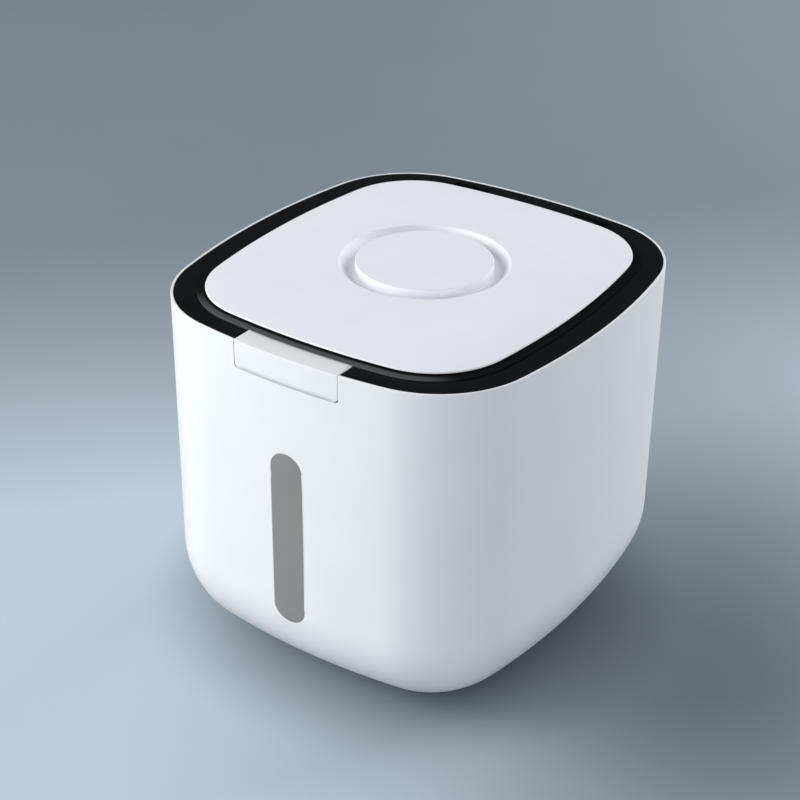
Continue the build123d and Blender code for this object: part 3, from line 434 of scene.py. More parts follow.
@dataclass(frozen=True)
class DrawnSteel(Finish):
    """Plated steel with fine draw lines and small changes of tarnish.

    Attributes:
        roughness: Middle roughness.
        line_size: Width of a draw line in millimetres.
        line_stretch: How much longer the lines are along each axis.
        line_depth: Depth of a draw line in millimetres.
        line_spread: How far the roughness falls and rises with the lines.
        tarnish_size: Size of a spot of tarnish in millimetres.
        tarnish: Shares by which the tarnish darkens and lightens the colour.
    """

    roughness: float
    line_size: float = 0.25
    line_stretch: tuple[float, float, float] = (24.0, 1.0, 1.0)
    line_depth: float = 0.004
    line_spread: tuple[float, float] = (-0.08, 0.1)
    tarnish_size: float = 3.0
    tarnish: tuple[float, float] = (-0.12, 0.06)

    def dress(self, sheet: NodeSheet) -> None:
        """Wires the finish.

        Args:
            sheet: Node tree of the material.
        """
        lines = sheet.noise(self.line_size, 3.0, self.line_stretch)
        sheet.feed({
            "Base Color": sheet.tint(sheet.noise(self.tarnish_size, 4.0), self.colour, *self.tarnish),
            "Roughness": sheet.spread(lines, *(self.roughness + shift for shift in self.line_spread)),
            "Normal": sheet.bump(lines, self.line_depth),
            "Metallic": 1.0,
        })


@dataclass(frozen=True)
class FinishSet:
    """Every finish of the object, by material slot."""

    finishes: dict[Slot, Finish] = field(
        default_factory=lambda: {
            Slot.WHITE_TUB: MouldedPlastic("white_tub_satin", (0.83, 0.84, 0.85), 0.34, skin_depth=0.003),
            Slot.WHITE_LID: MouldedPlastic("white_lid_satin", (0.86, 0.87, 0.905), 0.4, skin_depth=0.004),
            # The black frame carries a painted reflection: a lighter band on the apron in front, fading
            # towards the back.
            Slot.BLACK_FRAME: PaintedReflectionPlastic(
                "black_frame_gloss", (0.006, 0.0065, 0.007), 0.2, skin_depth=0.002, cloud=0.1,
                band_from=231.35, painted_reflection_top=232.25, painted_reflection_front=-117.0, painted_reflection_fade=18.0,
                painted_reflection_colour=(0.085, 0.087, 0.092), band_roughness=0.55,
            ),
            Slot.GREY_WINDOW: MouldedPlastic("smoked_window", (0.25, 0.25, 0.245), 0.42, cloud=0.03),
            Slot.INNER_WHITE: MouldedPlastic("inner_white_matt", (0.76, 0.77, 0.77), 0.5, skin_depth=0.008),
            Slot.BLACK_ACETAL: MouldedPlastic("black_acetal_matt", (0.02, 0.02, 0.022), 0.45, cloud=0.15),
            Slot.SILICONE: SoftRubber("soft_seal", (0.56, 0.57, 0.57)),
            Slot.FOOT_PAD: SoftRubber("foot_rubber", (0.3, 0.31, 0.32)),
            Slot.STEEL: DrawnSteel("zinc_steel", (0.6, 0.6, 0.61), 0.3),
            Slot.SPRING_STEEL: DrawnSteel("spring_wire", (0.5, 0.5, 0.51), 0.26),
            Slot.HINGE_STEEL: DrawnSteel("blackened_steel", (0.03, 0.03, 0.032), 0.4),
        }
    )

    def make(self) -> Materials:
        """Builds every material once."""
        return {slot: finish.make() for slot, finish in self.finishes.items()}


# Mesh helpers


class Skin:
    """A surface that is drawn level by level, each level extruded from the one before.

    Every vertex keeps its station, which is its place along the outline, so that a level is laid
    down as a list of points with one point for each station.
    """

    def __init__(self, bm: BMesh, points: list[Vector]) -> None:
        """Lays down the first level.

        Args:
            bm: Mesh that holds the skin.
            points: Points of the level in metres.
        """
        self.bm = bm
        layers = bm.verts.layers.int
        self.station = layers.get("station") or layers.new("station")
        verts = bmesh.ops.create_circle(bm, cap_ends=False, segments=len(points), radius=1.0)["verts"]
        for index, vert in enumerate(verts):
            vert[self.station] = index
        self.rim = self.settle(verts, points)
        self.first_rim = self.rim

    def settle(self, verts: list[BMVert], points: list[Vector]) -> list[BMEdge]:
        """Moves new vertices to their points.

        Args:
            verts: Vertices of a new level.
            points: Points of the level in metres.

        Returns:
            Edges of the level.
        """
        for vert in verts:
            vert.co = points[vert[self.station]]
        fresh = set(verts)
        return list({e for v in verts for e in v.link_edges if fresh.issuperset(e.verts)})

    def grow(self, points: list[Vector]) -> None:
        """Extrudes the open rim to a new level.

        Args:
            points: Points of the level in metres.
        """
        made = bmesh.ops.extrude_edge_only(self.bm, edges=self.rim)["geom"]
        self.rim = self.settle([item for item in made if isinstance(item, BMVert)], points)

    def close(self) -> None:
        """Closes the open rim with one face."""
        bmesh.ops.edgeloop_fill(self.bm, edges=self.rim)

    def turn_back(self) -> None:
        """Goes on from the first level, on its other side."""
        self.rim = self.first_rim

    def close_both(self) -> None:
        """Closes the last level and the first."""
        self.close()
        self.turn_back()
        self.close()

    def join_ends(self) -> None:
        """Joins the last level to the first."""
        bridge(self.bm, self.first_rim, self.rim)


def bridge(bm: BMesh, first: list[BMEdge], second: list[BMEdge]) -> list[BMFace]:
    """Joins two runs of edges by a band of faces."""
    return bmesh.ops.bridge_loops(bm, edges=first + second)["faces"]


def draw_skin(bm: BMesh, levels: list[list[Vector]]) -> Skin:
    """Draws a skin through all its levels.

    Args:
        bm: Mesh that holds the skin.
        levels: Points of each level in metres.

    Returns:
        The skin, open at both ends.
    """
    skin = Skin(bm, levels[0])
    for points in levels[1:]:
        skin.grow(points)
    return skin


def arc_points(centre: tuple, radius: float, start: float, end: float, steps: int) -> list[tuple]:
    """Points of a profile's arc.

    Args:
        centre: Centre of the arc as two coordinates of the profile.
        radius: Radius.
        start: First angle in degrees.
        end: Last angle in degrees.
        steps: Number of spans.

    Returns:
        Points in the profile's two coordinates.
    """
    angles = [math.radians(start + (end - start) * step / steps) for step in range(steps + 1)]
    return [(centre[0] + radius * math.cos(a), centre[1] + radius * math.sin(a)) for a in angles]


def round_off(bm: BMesh, geom: list, radius: float, segments: int, affect: str = "EDGES") -> None:
    """Rounds edges or corners.

    Args:
        bm: Mesh that holds them.
        geom: Edges, or the vertices of corners.
        radius: Radius in millimetres.
        segments: Number of spans round each one.
        affect: Blender's name for what is rounded.
    """
    bmesh.ops.bevel(
        bm, geom=geom, offset=radius * MM, offset_type="OFFSET", affect=affect, segments=segments,
        profile=0.5, material=-1, clamp_overlap=False,
    )


def finish_piece(
    bm: BMesh, name: str, body: Body, slot: Slot, nodes: tuple[str, ...], materials: Materials
) -> bpy.types.Object:
    """Makes the object of a mesh, dresses it and ties it to the frame.

    Args:
        bm: Finished mesh, which is freed.
        name: Name of the piece.
        body: Body that the piece rides on.
        slot: Slot of the record that the piece takes its finish from.
        nodes: Nodes that the piece stands for.
        materials: Materials by slot.

    Returns:
        The piece.
    """
    bmesh.ops.recalc_face_normals(bm, faces=bm.faces)
    mesh = bpy.data.meshes.new(name)
    bm.to_mesh(mesh)
    bm.free()
    mesh.shade_smooth()
    mesh.set_sharp_from_angle(angle=SHARP_ANGLE)
    mesh.materials.append(materials[slot])
    piece = bpy.data.objects.new(name, mesh)
    bpy.context.scene.collection.objects.link(piece)
    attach(piece, body.value)
    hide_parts(*nodes)
    log.info("%s made with %d faces", name, len(mesh.polygons))
    return piece


def even_shading(piece: bpy.types.Object) -> None:
    """Weights the normals by face area, so that flat faces stay flat beside small roundings."""
    weights = piece.modifiers.new("even_shading", "WEIGHTED_NORMAL")
    weights.keep_sharp = True


# Plan of the tub and the lid


@dataclass(frozen=True)
class BowedPlan:
    """Plan outline with four bowed sides and round corners, in millimetres.

    Attributes:
        width: Width across the middles of the sides.
        depth: Depth across the middles of the ends.
        bow: Radius of the bowed sides.
        corner: Radius of the corners.
        side_steps: Spans along a side.
        corner_steps: Spans round a corner.
    """

    width: float
    depth: float
    bow: float
    corner: float
    side_steps: int = 24
    corner_steps: int = 18

    @property
    def pulls(self) -> tuple[float, float]:
        """Distances from the middle of the plan to the centres of the side and end bows."""
        return self.bow - self.width / 2, self.bow - self.depth / 2

    @property
    def corner_place(self) -> tuple[float, float]:
        """Centre of the first corner, which lies equally far from the bows that it joins."""
        pull_x, pull_y = self.pulls
        reach = self.bow - self.corner
        slope = pull_x / pull_y
        shift = (pull_x**2 - pull_y**2) / (2 * pull_y) + pull_y
        square = 1 + slope**2
        linear = slope * shift
        x = (math.sqrt(linear**2 - square * (shift**2 - reach**2)) - linear) / square
        return x, slope * x + shift - pull_y

    def level(self, inset: float, z: float) -> list[Vector]:
        """Points of the outline at a height, from the right side all the way round.

        Args:
            inset: How far the outline is drawn in.
            z: Height.

        Returns:
            Points in metres.
        """
        pull_x, pull_y = self.pulls
        x, y = self.corner_place
        turn_x = math.degrees(math.atan2(y, x + pull_x))
        turn_y = math.degrees(math.atan2(x, y + pull_y))
        bow = self.bow - inset
        corner = self.corner - inset
        points = []
        for turn, pull, half, place in (
            (0, (-pull_x, 0), turn_x, (x, y)),
            (90, (0, -pull_y), turn_y, (-x, y)),
            (180, (pull_x, 0), turn_x, (-x, -y)),
            (270, (0, pull_y), turn_y, (x, -y)),
        ):
            points += arc_points(pull, bow, turn - half, turn + half, self.side_steps)[:-1]
            rest = turn_y if half == turn_x else turn_x
            points += arc_points(place, corner, turn + half, turn + 90 - rest, self.corner_steps)[:-1]
        return [Vector((px, py, z)) * MM for px, py in points]

    def circle(self, radius: float, z: float, y: float) -> list[Vector]:
        """Points of a level circle whose stations face those of the outline.

        Args:
            radius: Radius of the circle.
            z: Height.
            y: Place of the centre from front to back.

        Returns:
            Points in metres.
        """
        angles = [math.atan2(p.y - y * MM, p.x) for p in self.level(self.corner / 2, z)]
        return [Vector((radius * math.cos(a), y + radius * math.sin(a), z)) * MM for a in angles]

    def front(self, x: float, inset: float) -> float:
        """Place of the front end at a distance from its middle.

        Args:
            x: Distance from the middle.
            inset: How far the outline is drawn in.

        Returns:
            The place from front to back, which is negative.
        """
        bow = self.bow - inset
        return self.bow - self.depth / 2 - math.sqrt(bow**2 - x**2)


LID_PLAN = BowedPlan(211.4, 235.2, 482.5, 50.5)


# Sub-assemblies


@dataclass
class Tub:
    """White tub: leaning bowed walls, large base rounding, thin rim, button notch and window slot.

    Sizes are in millimetres.
    """

    plan: BowedPlan = BowedPlan(253.0, 273.4, 438.0, 65.5)
    rim: float = 231.5
    base: float = 1.2
    lean: float = 0.4
    base_rounding: float = 59.0
    wall: float = 3.0
    rim_wall: float = 1.6
    rim_edge: float = 0.7
    ledge: float = 215.5
    notch_half: float = 36.45
    notch_floor: float = 213.85
    notch_corner: float = 2.4
    notch_zone: float = 200.0
    front_zone: float = -100.0
    rim_foot: float = 222.0
    wall_levels: tuple[float, ...] = (190.0, 172.5, 145.0, 115.0, 85.0)
    rounding_steps: int = 16
    rim_steps: int = 5
    notch_steps: int = 5

    def lean_at(self, z: float) -> float:
        """Inset of the leaning wall at a height."""
        return self.lean * (self.rim - z) / (self.rim - self.base)

    @property
    def lean_angle(self) -> float:
        """Lean of the wall in radians."""
        return math.atan(self.lean / (self.rim - self.base))

    @property
    def rounding_centre(self) -> tuple[float, float]:
        """Inset and height of the base rounding's centre."""
        z = self.base + self.base_rounding
        return self.lean_at(z) + self.base_rounding / math.cos(self.lean_angle), z

    def inset_at(self, z: float, depth: float = 0.0) -> float:
        """Inset of the wall at a height, with the base rounding.

        Args:
            z: Height.
            depth: How far below the outer surface.

        Returns:
            The inset of the plan.
        """
        centre, middle = self.rounding_centre
        radius = self.base_rounding - depth
        if z > middle - radius * math.sin(self.lean_angle):
            return self.lean_at(z) + depth / math.cos(self.lean_angle)
        return centre - math.sqrt(radius**2 - (middle - z) ** 2)

    def wall_point(self, x: float, z: float, depth: float) -> Vector:
        """Point on the front wall.

        Args:
            x: Distance from the middle.
            z: Height.
            depth: How far below the outer surface.

        Returns:
            The point in metres.
        """
        return Vector((x, self.plan.front(x, self.inset_at(z, depth)), z)) * MM

    def wall_profile(self, depth: float, levels: list[float]) -> list[tuple[float, float]]:
        """Profile of one skin from its top level to the flat of the base.

        Args:
            depth: How far below the outer surface.
            levels: Heights along the straight wall, from the top down.

        Returns:
            Inset and height of each level.
        """
        profile = [(self.inset_at(z, depth), z) for z in levels]
        centre, middle = self.rounding_centre
        radius = self.base_rounding - depth
        start = 180 + math.degrees(self.lean_angle)
        return profile + arc_points((centre, middle), radius, start, 270, self.rounding_steps)

    def skin_profile(self) -> list[tuple[float, float]]:
        """Profile of the whole tub, from the inner floor over the rim to the base."""
        edge = self.rim_edge
        inner = self.wall_profile(self.wall, [self.ledge, self.notch_floor, *self.wall_levels])
        inner.reverse()
        rim = [(self.rim_wall, self.ledge)]
        rim += arc_points((self.rim_wall - edge, self.rim - edge), edge, 0, 90, self.rim_steps)
        rim += arc_points((edge, self.rim - edge), edge, 90, 180, self.rim_steps)
        outer = self.wall_profile(0.0, [self.rim_foot, self.notch_floor, *self.wall_levels])
        return inner + rim + outer

    def build(self, materials: Materials, window: "WindowStrip") -> None:
        """Builds the tub.

        Args:
            materials: Materials by slot.
            window: Window strip, whose slot goes through the front wall.
        """
        bm = bmesh.new()
        skin = draw_skin(bm, [self.plan.level(inset, z) for inset, z in self.skin_profile()])
        skin.close_both()
        window.open_slot(bm, self)
        self.cut_notch(bm)
        even_shading(finish_piece(bm, "tub_shell", Body.BIN, Slot.WHITE_TUB, ("outer_shell",), materials))

    def front_faces(self, bm: BMesh, low: float) -> list[tuple[BMFace, Vector]]:
        """Faces of the front wall above a height.

        Args:
            bm: Mesh of the tub.
            low: The height.

        Returns:
            Each face with its middle in millimetres.
        """
        middles = [(face, face.calc_center_median() / MM) for face in bm.faces]
        return [(face, middle) for face, middle in middles if middle.y < self.front_zone and middle.z > low]

    def cut_notch(self, bm: BMesh) -> None:
        """Cuts the button's notch through the rim and closes its walls.

        Args:
            bm: Mesh of the tub.
        """
        half = self.notch_half * MM
        floor = self.notch_floor * MM
        for side in (-half, half):
            near = [face for face, middle in self.front_faces(bm, self.notch_zone)]
            geom = near + list({e for f in near for e in f.edges}) + list({v for f in near for v in f.verts})
            bmesh.ops.bisect_plane(bm, geom=geom, plane_co=(side, 0, 0), plane_no=(1, 0, 0), dist=WELD)
        above = self.front_faces(bm, self.notch_floor)
        gone = [face for face, middle in above if abs(middle.x) < self.notch_half]
        bmesh.ops.delete(bm, geom=gone, context="FACES")
        rims = [e for e in bm.edges if e.is_boundary]
        level = [e for e in rims if all(abs(v.co.z - floor) < WELD for v in e.verts)]
        band = bridge(bm, *self.split_by_depth(level))
        sides = [e for e in bm.edges if e.is_boundary]
        for side in (-half, half):
            wall = [e for e in sides if all(abs(v.co.x - side) < WELD for v in e.verts)]
            bmesh.ops.edgeloop_fill(bm, edges=wall)
        corners = [
            e for e in {edge for face in band for edge in face.edges}
            if all(abs(abs(v.co.x) - half) < WELD and abs(v.co.z - floor) < WELD for v in e.verts)
        ]
        round_off(bm, corners, self.notch_corner, self.notch_steps)

    @staticmethod
    def split_by_depth(edges: list[BMEdge]) -> tuple[list[BMEdge], list[BMEdge]]:
        """Parts edges of the outer skin from those of the inner skin.

        Args:
            edges: Level edges of both skins along the notch's floor.

        Returns:
            Edges of the first skin and of the second.
        """
        seeds = [edges[0]]
        joined = {edges[0]}
        while seeds:
            edge = seeds.pop()
            for vert in edge.verts:
                for other in vert.link_edges:
                    if other in edges and other not in joined:
                        joined.add(other)
                        seeds.append(other)
        return list(joined), [e for e in edges if e not in joined]


@dataclass
class WindowStrip:
    """Smoked strip in the front wall, with its inner flange and soft gasket, in millimetres."""

    width: float = 22.5
    length: float = 117.0
    top: float = 169.5
    gap: float = 0.1
    edge: float = 0.25
    flange: float = 5.0
    flange_start: float = 3.8
    flange_end: float = 5.4
    gasket_margin: float = 1.2
    gasket_low: float = 3.05
    gasket_high: float = 3.75
    end_steps: int = 24
    side_steps: int = 24
    patch_reach: float = 18.5
    patch_over: float = 3.2
    patch_under: float = 4.5
    lip_steps: int = 3
    bead_steps: int = 4
    face_rings: tuple[float, ...] = (-10.0, -7.0, -4.0, -1.5)
    back_rings: tuple[float, ...] = (0.0, -5.0, -10.0)

    def level(self, tub: Tub, margin: float, depth: float) -> list[Vector]:
        """Points of a slot-shaped outline on a surface of the front wall.

        Args:
            tub: Tub whose wall it follows.
            margin: How much wider than the window it is all round.
            depth: How far below the wall's outer surface.

        Returns:
            Points in metres.
        """
        radius = self.width / 2 + margin
        upper = self.top - self.width / 2
        lower = self.top - self.length + self.width / 2
        rise = (upper - lower) / self.side_steps
        points = [(radius, lower + rise * step) for step in range(self.side_steps)]
        points += arc_points((0, upper), radius, 0, 180, self.end_steps)[:-1]
        points += [(-radius, upper - rise * step) for step in range(self.side_steps)]
        points += arc_points((0, lower), radius, 180, 360, self.end_steps)[:-1]
        return [tub.wall_point(x, z, depth) for x, z in points]

    def draw(self, bm: BMesh, tub: Tub, profile: list[tuple[float, float]]) -> Skin:
        """Draws a skin of slot-shaped outlines.

        Args:
            bm: Mesh that holds the skin.
            tub: Tub whose wall it follows.
            profile: Margin and depth of each outline.

        Returns:
            The skin, open at both ends.
        """
        return draw_skin(bm, [self.level(tub, margin, depth) for margin, depth in profile])

    def open_slot(self, bm: BMesh, tub: Tub) -> None:
        """Opens the slot through the wall of the tub's mesh, with a small rounded lip outside.

        Args:
            bm: Mesh of the tub.
            tub: Tub whose wall it follows.
        """
        rims = []
        for outside in (True, False):
            gone = []
            for face, (x, y, z) in tub.front_faces(bm, self.top - self.length - self.patch_under):
                outer = y < tub.plan.front(x, tub.inset_at(z, tub.wall / 2))
                if abs(x) < self.patch_reach and z < self.top + self.patch_over and outer == outside:
                    gone.append(face)
            rim = {e for f in gone for e in f.edges if sum(link in gone for link in e.link_faces) == 1}
            bmesh.ops.delete(bm, geom=gone, context="FACES")
            rims.append([e for e in rim if e.is_valid])
        lip = arc_points((self.edge, self.edge), self.edge, 270, 180, self.lip_steps)
        slot = self.draw(bm, tub, lip + [(0.0, tub.wall)])
        for rim, slot_rim in zip(rims, (slot.first_rim, slot.rim)):
            made = bmesh.ops.triangle_fill(
                bm, use_beauty=True, use_dissolve=False, edges=rim + slot_rim, normal=(0, -1, 0)
            )["geom"]
            patch = {item for item in made if isinstance(item, BMFace)}
            inner = {e for f in patch for e in f.edges if patch.issuperset(e.link_faces)}
            bmesh.ops.beautify_fill(bm, faces=list(patch), edges=list(inner), method="ANGLE")

    def build_pane(self, tub: Tub, materials: Materials) -> None:
        """Builds the pane with its flange.

        Args:
            tub: Tub whose wall it follows.
            materials: Materials by slot.
        """
        bm = bmesh.new()
        face = [(ring, 0.0) for ring in self.face_rings]
        lip = arc_points((-self.gap - self.edge, self.edge), self.edge, 270, 360, self.lip_steps)
        flange = [(-self.gap, self.flange_start), (self.flange, self.flange_start)]
        back = [(ring, self.flange_end) for ring in (self.flange, *self.back_rings)]
        self.draw(bm, tub, face + lip + flange + back).close_both()
        even_shading(
            finish_piece(bm, "window_pane", Body.BIN, Slot.GREY_WINDOW, ("viewing_window",), materials)
        )

    def build_gasket(self, tub: Tub, materials: Materials) -> None:
        """Builds the soft gasket behind the wall.

        Args:
            tub: Tub whose wall it follows.
            materials: Materials by slot.
        """
        bm = bmesh.new()
        middle = (self.gasket_low + self.gasket_high) / 2
        bead = (self.gasket_high - self.gasket_low) / 2
        outer = arc_points((self.flange - bead, middle), bead, 90, -90, self.bead_steps)
        inner = arc_points((self.gasket_margin + bead, middle), bead, 270, 90, self.bead_steps)
        self.draw(bm, tub, outer + inner).join_ends()
        finish_piece(bm, "window_gasket_bead", Body.BIN, Slot.SILICONE, ("window_gasket",), materials)


@dataclass
class LidPlate:
    """White lid plate: rounded edge, gentle crown, round finger groove and raised disc, in millimetres."""

    plan: BowedPlan = LID_PLAN
    under: float = 233.2
    edge_top: float = 234.4
    edge_radius: float = 0.9
    edge_steps: int = 8
    foot_radius: float = 0.3
    foot_steps: int = 3
    top: float = 237.4
    crown_margin: float = 42.0
    crown_steps: int = 14
    groove_radius: float = 52.1
    groove_floor: float = 232.8
    groove_flat: float = 1.6
    groove_steps: int = 10
    lip: float = 0.9
    lip_steps: int = 6
    disc_radius: float = 41.8
    disc_top: float = 238.2
    disc_edge: float = 0.7
    disc_edge_steps: int = 6
    disc_foot: float = 0.4
    disc_foot_steps: int = 4
    disc_rings: tuple[float, ...] = (0.8, 0.4)
    disc_place: float = 1.7
    skin: float = 1.9
    flange_inset: float = 10.0

    def edge_profile(self) -> list[tuple[float, float]]:
        """Profile of the plate's edge and crown, from the underside to the flat top."""
        foot = self.foot_radius
        radius = self.edge_radius
        rise = self.top - self.edge_top
        slope = math.degrees(math.atan(2 * rise / (self.crown_margin - radius)))
        profile = arc_points((foot, self.under + foot), foot, 270, 180, self.foot_steps)
        profile += arc_points((radius, self.edge_top - radius), radius, 180, 90 + slope, self.edge_steps)
        inset, height = profile[-1]
        run = self.crown_margin - inset
        drop = self.top - height
        for step in range(1, self.crown_steps + 1):
            share = step / self.crown_steps
            profile.append((inset + run * share, self.top - drop * (1 - share) ** 2))
        return profile

    def groove_profile(self) -> list[tuple[float, float]]:
        """Radius and height from the groove's lip over its floor to the top of the disc."""
        floor_outer = self.disc_radius + self.groove_flat
        run = self.groove_radius - floor_outer
        depth = self.top - self.groove_floor
        bowl = (run**2 + depth**2) / (2 * depth)
        bowl_height = self.groove_floor + bowl
        lip_height = self.top - self.lip
        lip_radius = floor_outer + math.sqrt((bowl + self.lip) ** 2 - (bowl_height - lip_height) ** 2)
        meet = math.degrees(math.atan2(bowl_height - lip_height, floor_outer - lip_radius))
        foot = self.disc_foot
        edge = self.disc_edge
        profile = arc_points((lip_radius, lip_height), self.lip, 90, meet, self.lip_steps)
        profile += arc_points((floor_outer, bowl_height), bowl, meet - 180, -90, self.groove_steps)[1:]
        foot_place = (self.disc_radius + foot, self.groove_floor + foot)
        profile += arc_points(foot_place, foot, 270, 180, self.disc_foot_steps)
        edge_place = (self.disc_radius - edge, self.disc_top - edge)
        profile += arc_points(edge_place, edge, 0, 90, self.disc_edge_steps)
        return profile + [(self.disc_radius * share, self.disc_top) for share in self.disc_rings]

    def build(self, materials: Materials) -> None:
        """Builds the plate.

        Args:
            materials: Materials by slot.
        """
        bm = bmesh.new()
        outline = [self.plan.level(inset, z) for inset, z in self.edge_profile()]
        round_part = [self.plan.circle(radius, z, self.disc_place) for radius, z in self.groove_profile()]
        skin = draw_skin(bm, outline + round_part)
        skin.close()
        skin.turn_back()
        bowl_under = self.groove_floor - self.skin
        skin.grow(self.plan.level(self.flange_inset, self.under))
        for radius, z in (
            (self.groove_radius + self.skin, self.under),
            (self.groove_radius + self.skin, bowl_under),
            (self.disc_radius - self.skin, bowl_under),
            (self.disc_radius - self.skin, self.disc_top - self.skin),
        ):
            skin.grow(self.plan.circle(radius, z, self.disc_place))
        skin.close()
        even_shading(finish_piece(bm, "lid_plate", Body.LID, Slot.WHITE_LID, ("lid_cover",), materials))


@dataclass
class LidSeal:
    """Soft ring in the liner's groove with two lips towards the throat, in millimetres."""

    plan: BowedPlan = LID_PLAN
    root: float = 21.45
    band: float = 19.5
    lip_tip: float = 18.3
    low: float = 218.15
    high: float = 222.45
    lip: float = 0.9
    lip_root: float = 1.35
    lip_steps: int = 5

    def profile(self) -> list[tuple[float, float]]:
        """Closed profile of the seal, with rounded lips that taper towards their tips."""
        bead = self.lip / 2
        points = [(self.root, self.low), (self.band, self.low)]
        points += arc_points((self.lip_tip + bead, self.low + bead), bead, 270, 90, self.lip_steps)
        points += [(self.band, self.low + self.lip_root), (self.band, self.high - self.lip_root)]
        points += arc_points((self.lip_tip + bead, self.high - bead), bead, 270, 90, self.lip_steps)
        return points + [(self.band, self.high), (self.root, self.high)]

    def build(self, materials: Materials) -> None:
        """Builds the seal.

        Args:
            materials: Materials by slot.
        """
        bm = bmesh.new()
        draw_skin(bm, [self.plan.level(inset, z) for inset, z in self.profile()]).join_ends()
        finish_piece(bm, "lid_seal_ring", Body.LID, Slot.SILICONE, ("lid_seal",), materials)


@dataclass
class PushButton:
    """White push button, flush with the wall in front and the rim on top, in millimetres."""

    width: float = 72.0
    bottom: float = 214.3
    back: float = -119.7
    corner: float = 4.0
    corner_steps: int = 7
    edge: float = 0.5
    edge_steps: int = 4
    wall: float = 2.0
    cheek: float = 1.8
    columns: int = 24
    rows: int = 6

    def build(self, tub: Tub, materials: Materials) -> None:
        """Builds the button.

        Args:
            tub: Tub whose wall the front follows.
            materials: Materials by slot.
        """
        bm = bmesh.new()
        height = tub.rim - self.bottom
        place = Matrix.Translation(Vector((0, 0, self.bottom + height / 2)) * MM)
        size = Matrix.Diagonal((self.width * MM, 1, height * MM, 1))
        turn = Matrix.Rotation(RIGHT_ANGLE, 4, "X")
        bmesh.ops.create_grid(
            bm, x_segments=self.columns, y_segments=self.rows, size=0.5, matrix=place @ size @ turn
        )
        low = self.bottom * MM
        half = self.width / 2 * MM
        tips = [v for v in bm.verts if abs(v.co.z - low) < WELD and abs(abs(v.co.x) - half) < WELD]
        round_off(bm, tips, self.corner, self.corner_steps, "VERTICES")
        for vert in bm.verts:
            vert.co = tub.wall_point(vert.co.x / MM, vert.co.z / MM, 0.0)
        rim = [e for e in bm.edges if e.is_boundary]
        cheek = half - self.cheek * MM
        skirt = [
            e for e in rim
            if min(v.co.z for v in e.verts) > low + self.corner * MM + WELD
            or min(abs(v.co.x) for v in e.verts) > cheek
        ]
        made = bmesh.ops.extrude_edge_only(bm, edges=skirt)["geom"]
        for vert in (item for item in made if isinstance(item, BMVert)):
            vert.co.y = self.back * MM
        bmesh.ops.recalc_face_normals(bm, faces=bm.faces)
        round_off(bm, skirt, self.edge, self.edge_steps)
        piece = finish_piece(bm, "push_button", Body.BUTTON, Slot.WHITE_TUB, ("release_button",), materials)
        wall = piece.modifiers.new("wall", "SOLIDIFY")
        wall.thickness = self.wall * MM
        wall.offset = -1.0
        wall.use_even_offset = True
        even_shading(piece)


@dataclass
class FootPads:
    """Four soft pads under the base, each with a ring groove in its face, in millimetres."""

    radius: float = 9.0
    height: float = 2.4
    edge: float = 0.4
    edge_steps: int = 4
    groove: float = 5.6
    groove_half: float = 0.6
    groove_depth: float = 0.35
    steps: int = 48
    names: tuple[str, ...] = ("front_left", "front_right", "rear_left", "rear_right")

    def profile(self) -> list[tuple[float, float]]:
        """Radius and height from the middle of the face to the middle of the back."""
        points = [(0.0, 0.0), (self.groove - self.groove_half, 0.0)]
        points += [(self.groove, self.groove_depth), (self.groove + self.groove_half, 0.0)]
        points += arc_points((self.radius - self.edge, self.edge), self.edge, -90, 0, self.edge_steps)
        return points + [(self.radius, self.height), (0.0, self.height)]

    def build(self, materials: Materials) -> None:
        """Builds the pads.

        Args:
            materials: Materials by slot.
        """
        for name in self.names:
            node = "foot_" + name
            low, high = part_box(node)
            middle = (low + high) / 2
            bm = bmesh.new()
            verts = [bm.verts.new(Vector((radius, 0, z)) * MM) for radius, z in self.profile()]
            edges = [bm.edges.new(pair) for pair in zip(verts, verts[1:])]
            bmesh.ops.spin(
                bm, geom=verts + edges, cent=(0, 0, 0), axis=(0, 0, 1), angle=FULL_TURN,
                steps=self.steps, use_merge=True, use_duplicate=False,
            )
            bmesh.ops.remove_doubles(bm, verts=bm.verts, dist=WELD)
            bmesh.ops.translate(bm, verts=bm.verts, vec=Vector((middle.x, middle.y, 0)))
            finish_piece(bm, "foot_pad_" + name, Body.BIN, Slot.FOOT_PAD, (node,), materials)


@dataclass
class CarriedNodes:
    """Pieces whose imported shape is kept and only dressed."""

    slots: dict[Slot, tuple[str, ...]] = field(
        default_factory=lambda: {
            Slot.BLACK_FRAME: ("rim_frame",),
            Slot.BLACK_ACETAL: (
                "button_cradle", "latch_hook", "lid_catch", "hinge_leaf_left", "hinge_leaf_right",
            ),
            Slot.INNER_WHITE: ("lid_liner", "freshness_cup", "freshness_cap"),
            Slot.STEEL: (
                "lid_screws", "hinge_screws", "catch_screws", "cradle_screws", "hook_screws",
            ),
            Slot.SPRING_STEEL: ("button_spring_left", "button_spring_right"),
            Slot.HINGE_STEEL: (
                "hinge_pin_left", "hinge_pin_right", "hinge_spring_left", "hinge_spring_right",
            ),
        }
    )

    def dress(self, materials: Materials) -> None:
        """Puts the finish of its slot on each kept node.

        Args:
            materials: Materials by slot.
        """
        for slot, nodes in self.slots.items():
            for node in nodes:
                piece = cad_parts[node]
                for holder in piece.material_slots:
                    holder.material = materials[slot]
                log.info("%s dressed as %s", node, slot.value)


# Stage


